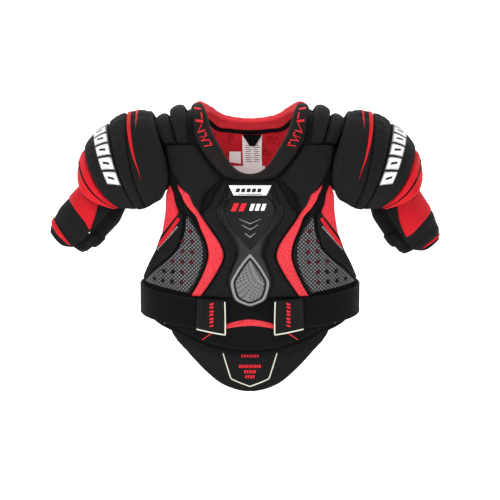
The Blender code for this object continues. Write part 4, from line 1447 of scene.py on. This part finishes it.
def trimTags():
    # plain lines in two columns, in place of print
    lines = []
    for k in range(9):
        at = 0.36 + 0.055 * k
        for start, widths in ((0.16, (0.30, 0.22, 0.34, 0.26)), (0.58, (0.24, 0.32, 0.20, 0.28))):
            end = start + widths[k % 4]
            lines.append(((start, at), (end, at), (end, at + 0.014), (start, at + 0.014)))
    decalOn = between(tagParts["labelInner"], tagParts["labelOuter"])

    def laid(u, v):
        spot = decalOn(u, v)
        return Vector((spot.x, spot.y - 0.0170, spot.z))

    behind = Vector((0, 5.0, -0.05))
    decalSet("labelLines", laid, lines, "label", "printBlack", behind, None, lift=-0.0002, thick=0.0002, cells=(1, 3))

    def lining(u, v):
        # a printed patch on the lining beside the label
        spot = vestPoint(*rear(-0.036 + 0.020 * u, -0.034 - 0.028 * v))
        return Vector((spot.x, spot.y - 0.0150, spot.z))

    patch = [((0.0, 0.12), (0.0, 0.78), (1.0, 0.88), (1.0, 0.12))]
    low = [((0.3, 1.02), (0.3, 1.50), (3.1, 1.50), (3.1, 1.02))]
    bars = [((0.18, 0.32), (0.18, 0.60), (0.44, 0.64), (0.44, 0.32)),
            ((0.56, 0.32), (0.56, 0.64), (0.82, 0.67), (0.82, 0.32))]
    for name, shapes, finish, lift, cells in (
        ("sizePatch", patch, "printWhite", -0.0003, (3, 4)), ("lowPatch", low, "printWhite", -0.0002, (12, 4)),
        ("sizePatchBars", bars, "printBlack", -0.0009, (2, 2)),
    ):
        decalSet(name, lining, shapes, "vest", finish, behind, None, lift=lift, thick=0.0003, cells=cells)


def trimTabs():
    for name, side in sides.items():
        tab, body = [f"{name}BellyTab"], f"{name}_belly_tab"
        down = drawn([(40.2, -268.5), (39.6, -297), (39.6, -322.5)], seamStep, side, onto=tab, lift=0.0003)
        foot = drawn([(39.6, -322.8), (60, -319.5), (85, -314.5)], seamStep, side, onto=tab, lift=0.0003)
        cordOn(f"{name}TabPiping", [down, foot], 0.0011, body, "cream")
        rows = [drawn([(x, -267), (x + 1, -312)], stitchStep, side, onto=tab, lift=onCover) for x in (78.5, 82.5)]
        stitchRow(f"{name}TabStitch", rows, body, radius=0.0004)
        marks = [[(58, z), (64.5, z - 2.2), (64.5, z - 4.6), (58, z - 2.4)] for z in range(-270, -307, -6)]
        marks += [[(58, z - 2.4), (60.2, z - 3.0), (64.5, z - 8.2), (62.3, z - 7.4)] for z in (-270, -282, -294)]
        vestMarks(f"{name}TabMarks", marks, body, "printRed", tab, side, cells=(1, 2))


def trimStraps():
    for name, side in sides.items():
        rows = [route(strapPoint, [(25, share), (90, share), (149, share)], longStitch, vestCore, side,
                      onto=[f"{name}SideStrap"], lift=onCover) for share in (0.05, 0.95)]
        stitchRow(f"{name}StrapStitch", rows, "vest")


def trimBelly():
    on = ["bellyPad"]
    for sign in (1, -1):
        for points in ([(68, -357), (61, -371), (54, -385)], [(92, -345), (80, -352), (70, -356)]):
            groove("bellyPad", drawn([(sign * x, z) for x, z in points], seamStep, lift=-0.018), 0.0018, 0.0028)
    halves = [[(-46, -358), (-39.5, -379), (-32.5, -400)], [(-32.2, -400.6), (-16, -407.5), (0, -413.5)]]
    paths = []
    for points in halves:
        for sign in (1, -1):
            paths.append(drawn([(sign * x, z) for x, z in points], seamStep, onto=on, lift=0.0003))
    cordOn("bellyPiping", paths, 0.0010, "belly_pad", "cream")
    marks = []
    for count, z, tall, step in ((7, -360, 4.6, 4.4), (9, -377, 5.2, 4.2), (5, -386, 5.2, 4.2),
                                 (4, -394.5, 5.2, 4.2)):
        for k in range(count):
            x = (k - (count - 1) / 2) * step
            marks.append([(x - 1.3, z), (x + 1.3, z), (x + 1.1, z - tall), (x - 1.5, z - tall)])
    vestMarks("bellyMarks", marks, "belly_pad", "printRed", on, cells=(1, 1))
    edge = [(x * 0.965, run + 0.0035) for x, run in bellyParts["edge"][2:]]
    rows = [route(vestPoint, [(sign * x, run) for x, run in edge], longStitch, vestCore, onto=on, lift=onCover)
            for sign in (1, -1)]
    stitchRow("bellyStitch", rows, "belly_pad")


def trimFloats():
    for name, side in sides.items():
        for which in ("inner", "outer"):
            piece = [f"{name}{which.title()}Float"]
            place = floatPlace(floatParts[which])
            rows = [route(place, [(0.12, v), (0.5, v), (0.88, v)], floatStitch, neckCore, side, onto=piece,
                          lift=onCover)
                    for v in (0.058, 0.942)]
            stitchRow(f"{piece[0]}Stitch", rows, f"{name}_float_{which}")


armTrims = {
    # (share, turn) outlines: the red panel tapers to a point near the front edge
    1: {"upper": [(0.02, -78), (0.02, -40), (0.02, 0), (0.02, 40), (0.10, 66), (0.26, 84), (0.46, 97), (0.66, 103)],
        "lower": [(0.16, -78), (0.40, -66), (0.55, -40), (0.60, 0), (0.63, 36), (0.66, 66), (0.69, 88), (0.69, 103)],
        "stripe": ([(0.945, -70), (0.94, -20), (0.94, 30), (0.94, 62), (0.945, 90)],
                   [(0.952, -70), (0.965, -20), (0.97, 30), (0.965, 62), (0.949, 90)])},
    -1: {"upper": [(0.02, -78), (0.02, -40), (0.02, 0), (0.02, 36), (0.08, 60), (0.20, 78), (0.36, 92), (0.54, 104)],
         "lower": [(0.14, -78), (0.36, -66), (0.46, -40), (0.49, -6), (0.50, 34), (0.515, 64), (0.53, 86),
                   (0.57, 104)],
         "stripe": ([(0.86, -40), (0.84, 0), (0.85, 34), (0.87, 64), (0.90, 98)],
                    [(0.87, -40), (0.90, 0), (0.925, 34), (0.935, 64), (0.915, 98)])},
}


def trimArms(use):
    for name, side in sides.items():
        turn, body, on = arm["turn"][side], f"{name}_arm", [f"{name}ArmGuard"]
        shapes = use[side]
        panel(f"{name}ArmPanel", between(shapes["upper"], shapes["lower"], armPoint), (16, 60), (0.0001, 0.0014),
              armCore, ["redCloth"], body, side, turn, edge=0.002, rim=0.3, crown=0.0008, onto=on, levels=0,
              replaced=[f"{name}_arm_panel"])
        panel(f"{name}ArmStripe", between(*shapes["stripe"], armPoint), (3, 60), (0.0001, 0.0011), armCore,
              ["redCloth"], body, side,
              turn, edge=0.001, rim=0.3, onto=on, levels=0, replaced=[f"{name}_arm_stripe"])
        panel(f"{name}ArmTab", armPatch(0.60, 0.78, -114, -80), (14, 14), (0.0006, 0.0030), armCore, ["tab"],
              f"{name}_arm_tab", side, turn, edge=0.0018, rim=0.4, onto=on,
              replaced=[f"{name}_arm_strap_tab"])
        rim = [(0.05, 111.5), (0.5, 111.5), (0.83, 111), (0.90, 105), (0.955, 95), (0.985, 80), (0.99, 40)]
        around = rim + [(0.99, 0)] + [(share, -t) for share, t in reversed(rim)]
        edges = [route(armPoint, around, 0.003, armCore, side, turn, lift=-0.0036)]
        cordOn(f"{name}ArmBinding", edges, 0.0033, body, "binding")
        lines = [(0.06, 103), (0.5, 107), (0.93, 107)], [(0.935, t) for t in (-106, -60, 0, 60, 106)]
        rows = [route(armPoint, line, stitchStep, armCore, side, turn, onto=on, lift=onCover) for line in lines]
        stitchRow(f"{name}ArmStitch", rows, body)
        if side < 0:
            discs(f"{name}ArmRivet", [(0.60, 108)], 0.0013, body, "metal", on, side, place=armPoint, core=armCore,
                  turn=turn)
        band = [route(armPoint, [(0.945, t) for t in (118, 150, 180, 210, 242)], 0.003, armCore, side, turn,
                      lift=-0.0104)]
        cordOn(f"{name}SleeveHem", band, 0.0016, body, "elastic")


def trimBack():
    for name, side in sides.items():
        pad = f"{name}BladePad"
        place = between(backParts["bladeInner"], backParts["bladeOuter"])
        for share in backParts["channels"]:
            line = route(place, [(0.04, share), (0.5, share - 0.02), (0.96, share)], seamStep, vestCore, side)
            groove(pad, line, 0.0030, 0.0026)
        rows = [route(place, [(0.08, share + 0.03), (0.5, share + 0.01), (0.92, share + 0.03)], stitchStep, vestCore,
                      side,
                      onto=[pad], lift=onCover) for share in backParts["channels"]]
        stitchRow(f"{name}BladeStitch", rows, "vest")
    place = bothSides(backParts["lower"])
    for share in (0.36, 0.68):
        line = route(place, [(0.04, share), (0.5, share + 0.02), (0.96, share)], seamStep, vestCore)
        groove("lowerBackPad", line, 0.0030, 0.0026)


trimCaps(capSeams)
trimBreast(breastMarks)
trimChest(chestMarks)
trimHems(hemParts)
trimNeck()
trimTags()
trimTabs()
trimStraps()
trimBelly()
trimFloats()
trimArms(armTrims)
trimBack()
print("seams and marks laid")

camera = bpy.data.objects.new("camera", bpy.data.cameras.new("camera"))
scene.collection.objects.link(camera)
scene.camera = camera
shot = {"distance": 2.6, "rise": math.radians(7), "aim": Vector((0, 0, -0.199)), "span": 0.85}
camera.data.sensor_width = 36
camera.data.lens = 36 * shot["distance"] / shot["span"]
camera.location = shot["aim"] + Vector((0, -math.cos(shot["rise"]), math.sin(shot["rise"]))) * shot["distance"]
camera.rotation_euler = (math.pi / 2 - shot["rise"], 0, 0)

studio = {"size": 30, "floorDrop": 0.105, "wallAway": 14}


def stagePlane(name, matrix, finishName, tone, roughness, glow):
    bm = bmesh.new()
    bmesh.ops.create_grid(bm, x_segments=1, y_segments=1, size=studio["size"], matrix=matrix)
    mesh = bpy.data.meshes.new(name)
    bm.to_mesh(mesh)
    bm.free()
    plane = bpy.data.objects.new(name, mesh)
    scene.collection.objects.link(plane)
    finish = Finish(finishName, roughness)
    for socket, value in (("Base Color", (tone, tone, tone, 1)), ("Emission Color", (1, 1, 1, 1)),
                          ("Emission Strength", glow)):
        finish.shader.inputs[socket].default_value = value
    mesh.materials.append(finish.made)


stagePlane("floor", Matrix.Translation((0, 0, cadLow.z - studio["floorDrop"])), "pale floor", 0.92, 0.9, 0.52)
upright = Matrix.Translation((0, studio["wallAway"], 0)) @ Matrix.Rotation(math.pi / 2, 4, "X")
stagePlane("backdrop", upright, "white backdrop", 0.9, 1.0, 0.8)

# place, size and power
lights = {
    "key": ((-1.3, -2.3, 1.7), 1.2, 34), "fill": ((0.7, -2.8, 0.5), 1.8, 20), "top": ((0, 0.3, 2.2), 1.4, 14),
    "back": ((0.0, 2.4, 1.4), 1.6, 18),
}
for name, (place, size, power) in lights.items():
    lamp = bpy.data.objects.new(name, bpy.data.lights.new(name, "AREA"))
    lamp.data.size = size
    lamp.data.energy = power
    lamp.location = place
    lamp.rotation_euler = (Vector((0, 0, -0.15)) - Vector(place)).to_track_quat("-Z", "Y").to_euler()
    scene.collection.objects.link(lamp)
world = bpy.data.worlds.new("studio")
scene.world = world
world.use_nodes = True
sky = world.node_tree.nodes["Background"]
sky.inputs["Color"].default_value = (1, 1, 1, 1)
sky.inputs["Strength"].default_value = 0.56
scene.view_settings.view_transform = "Standard"
print("stage set")
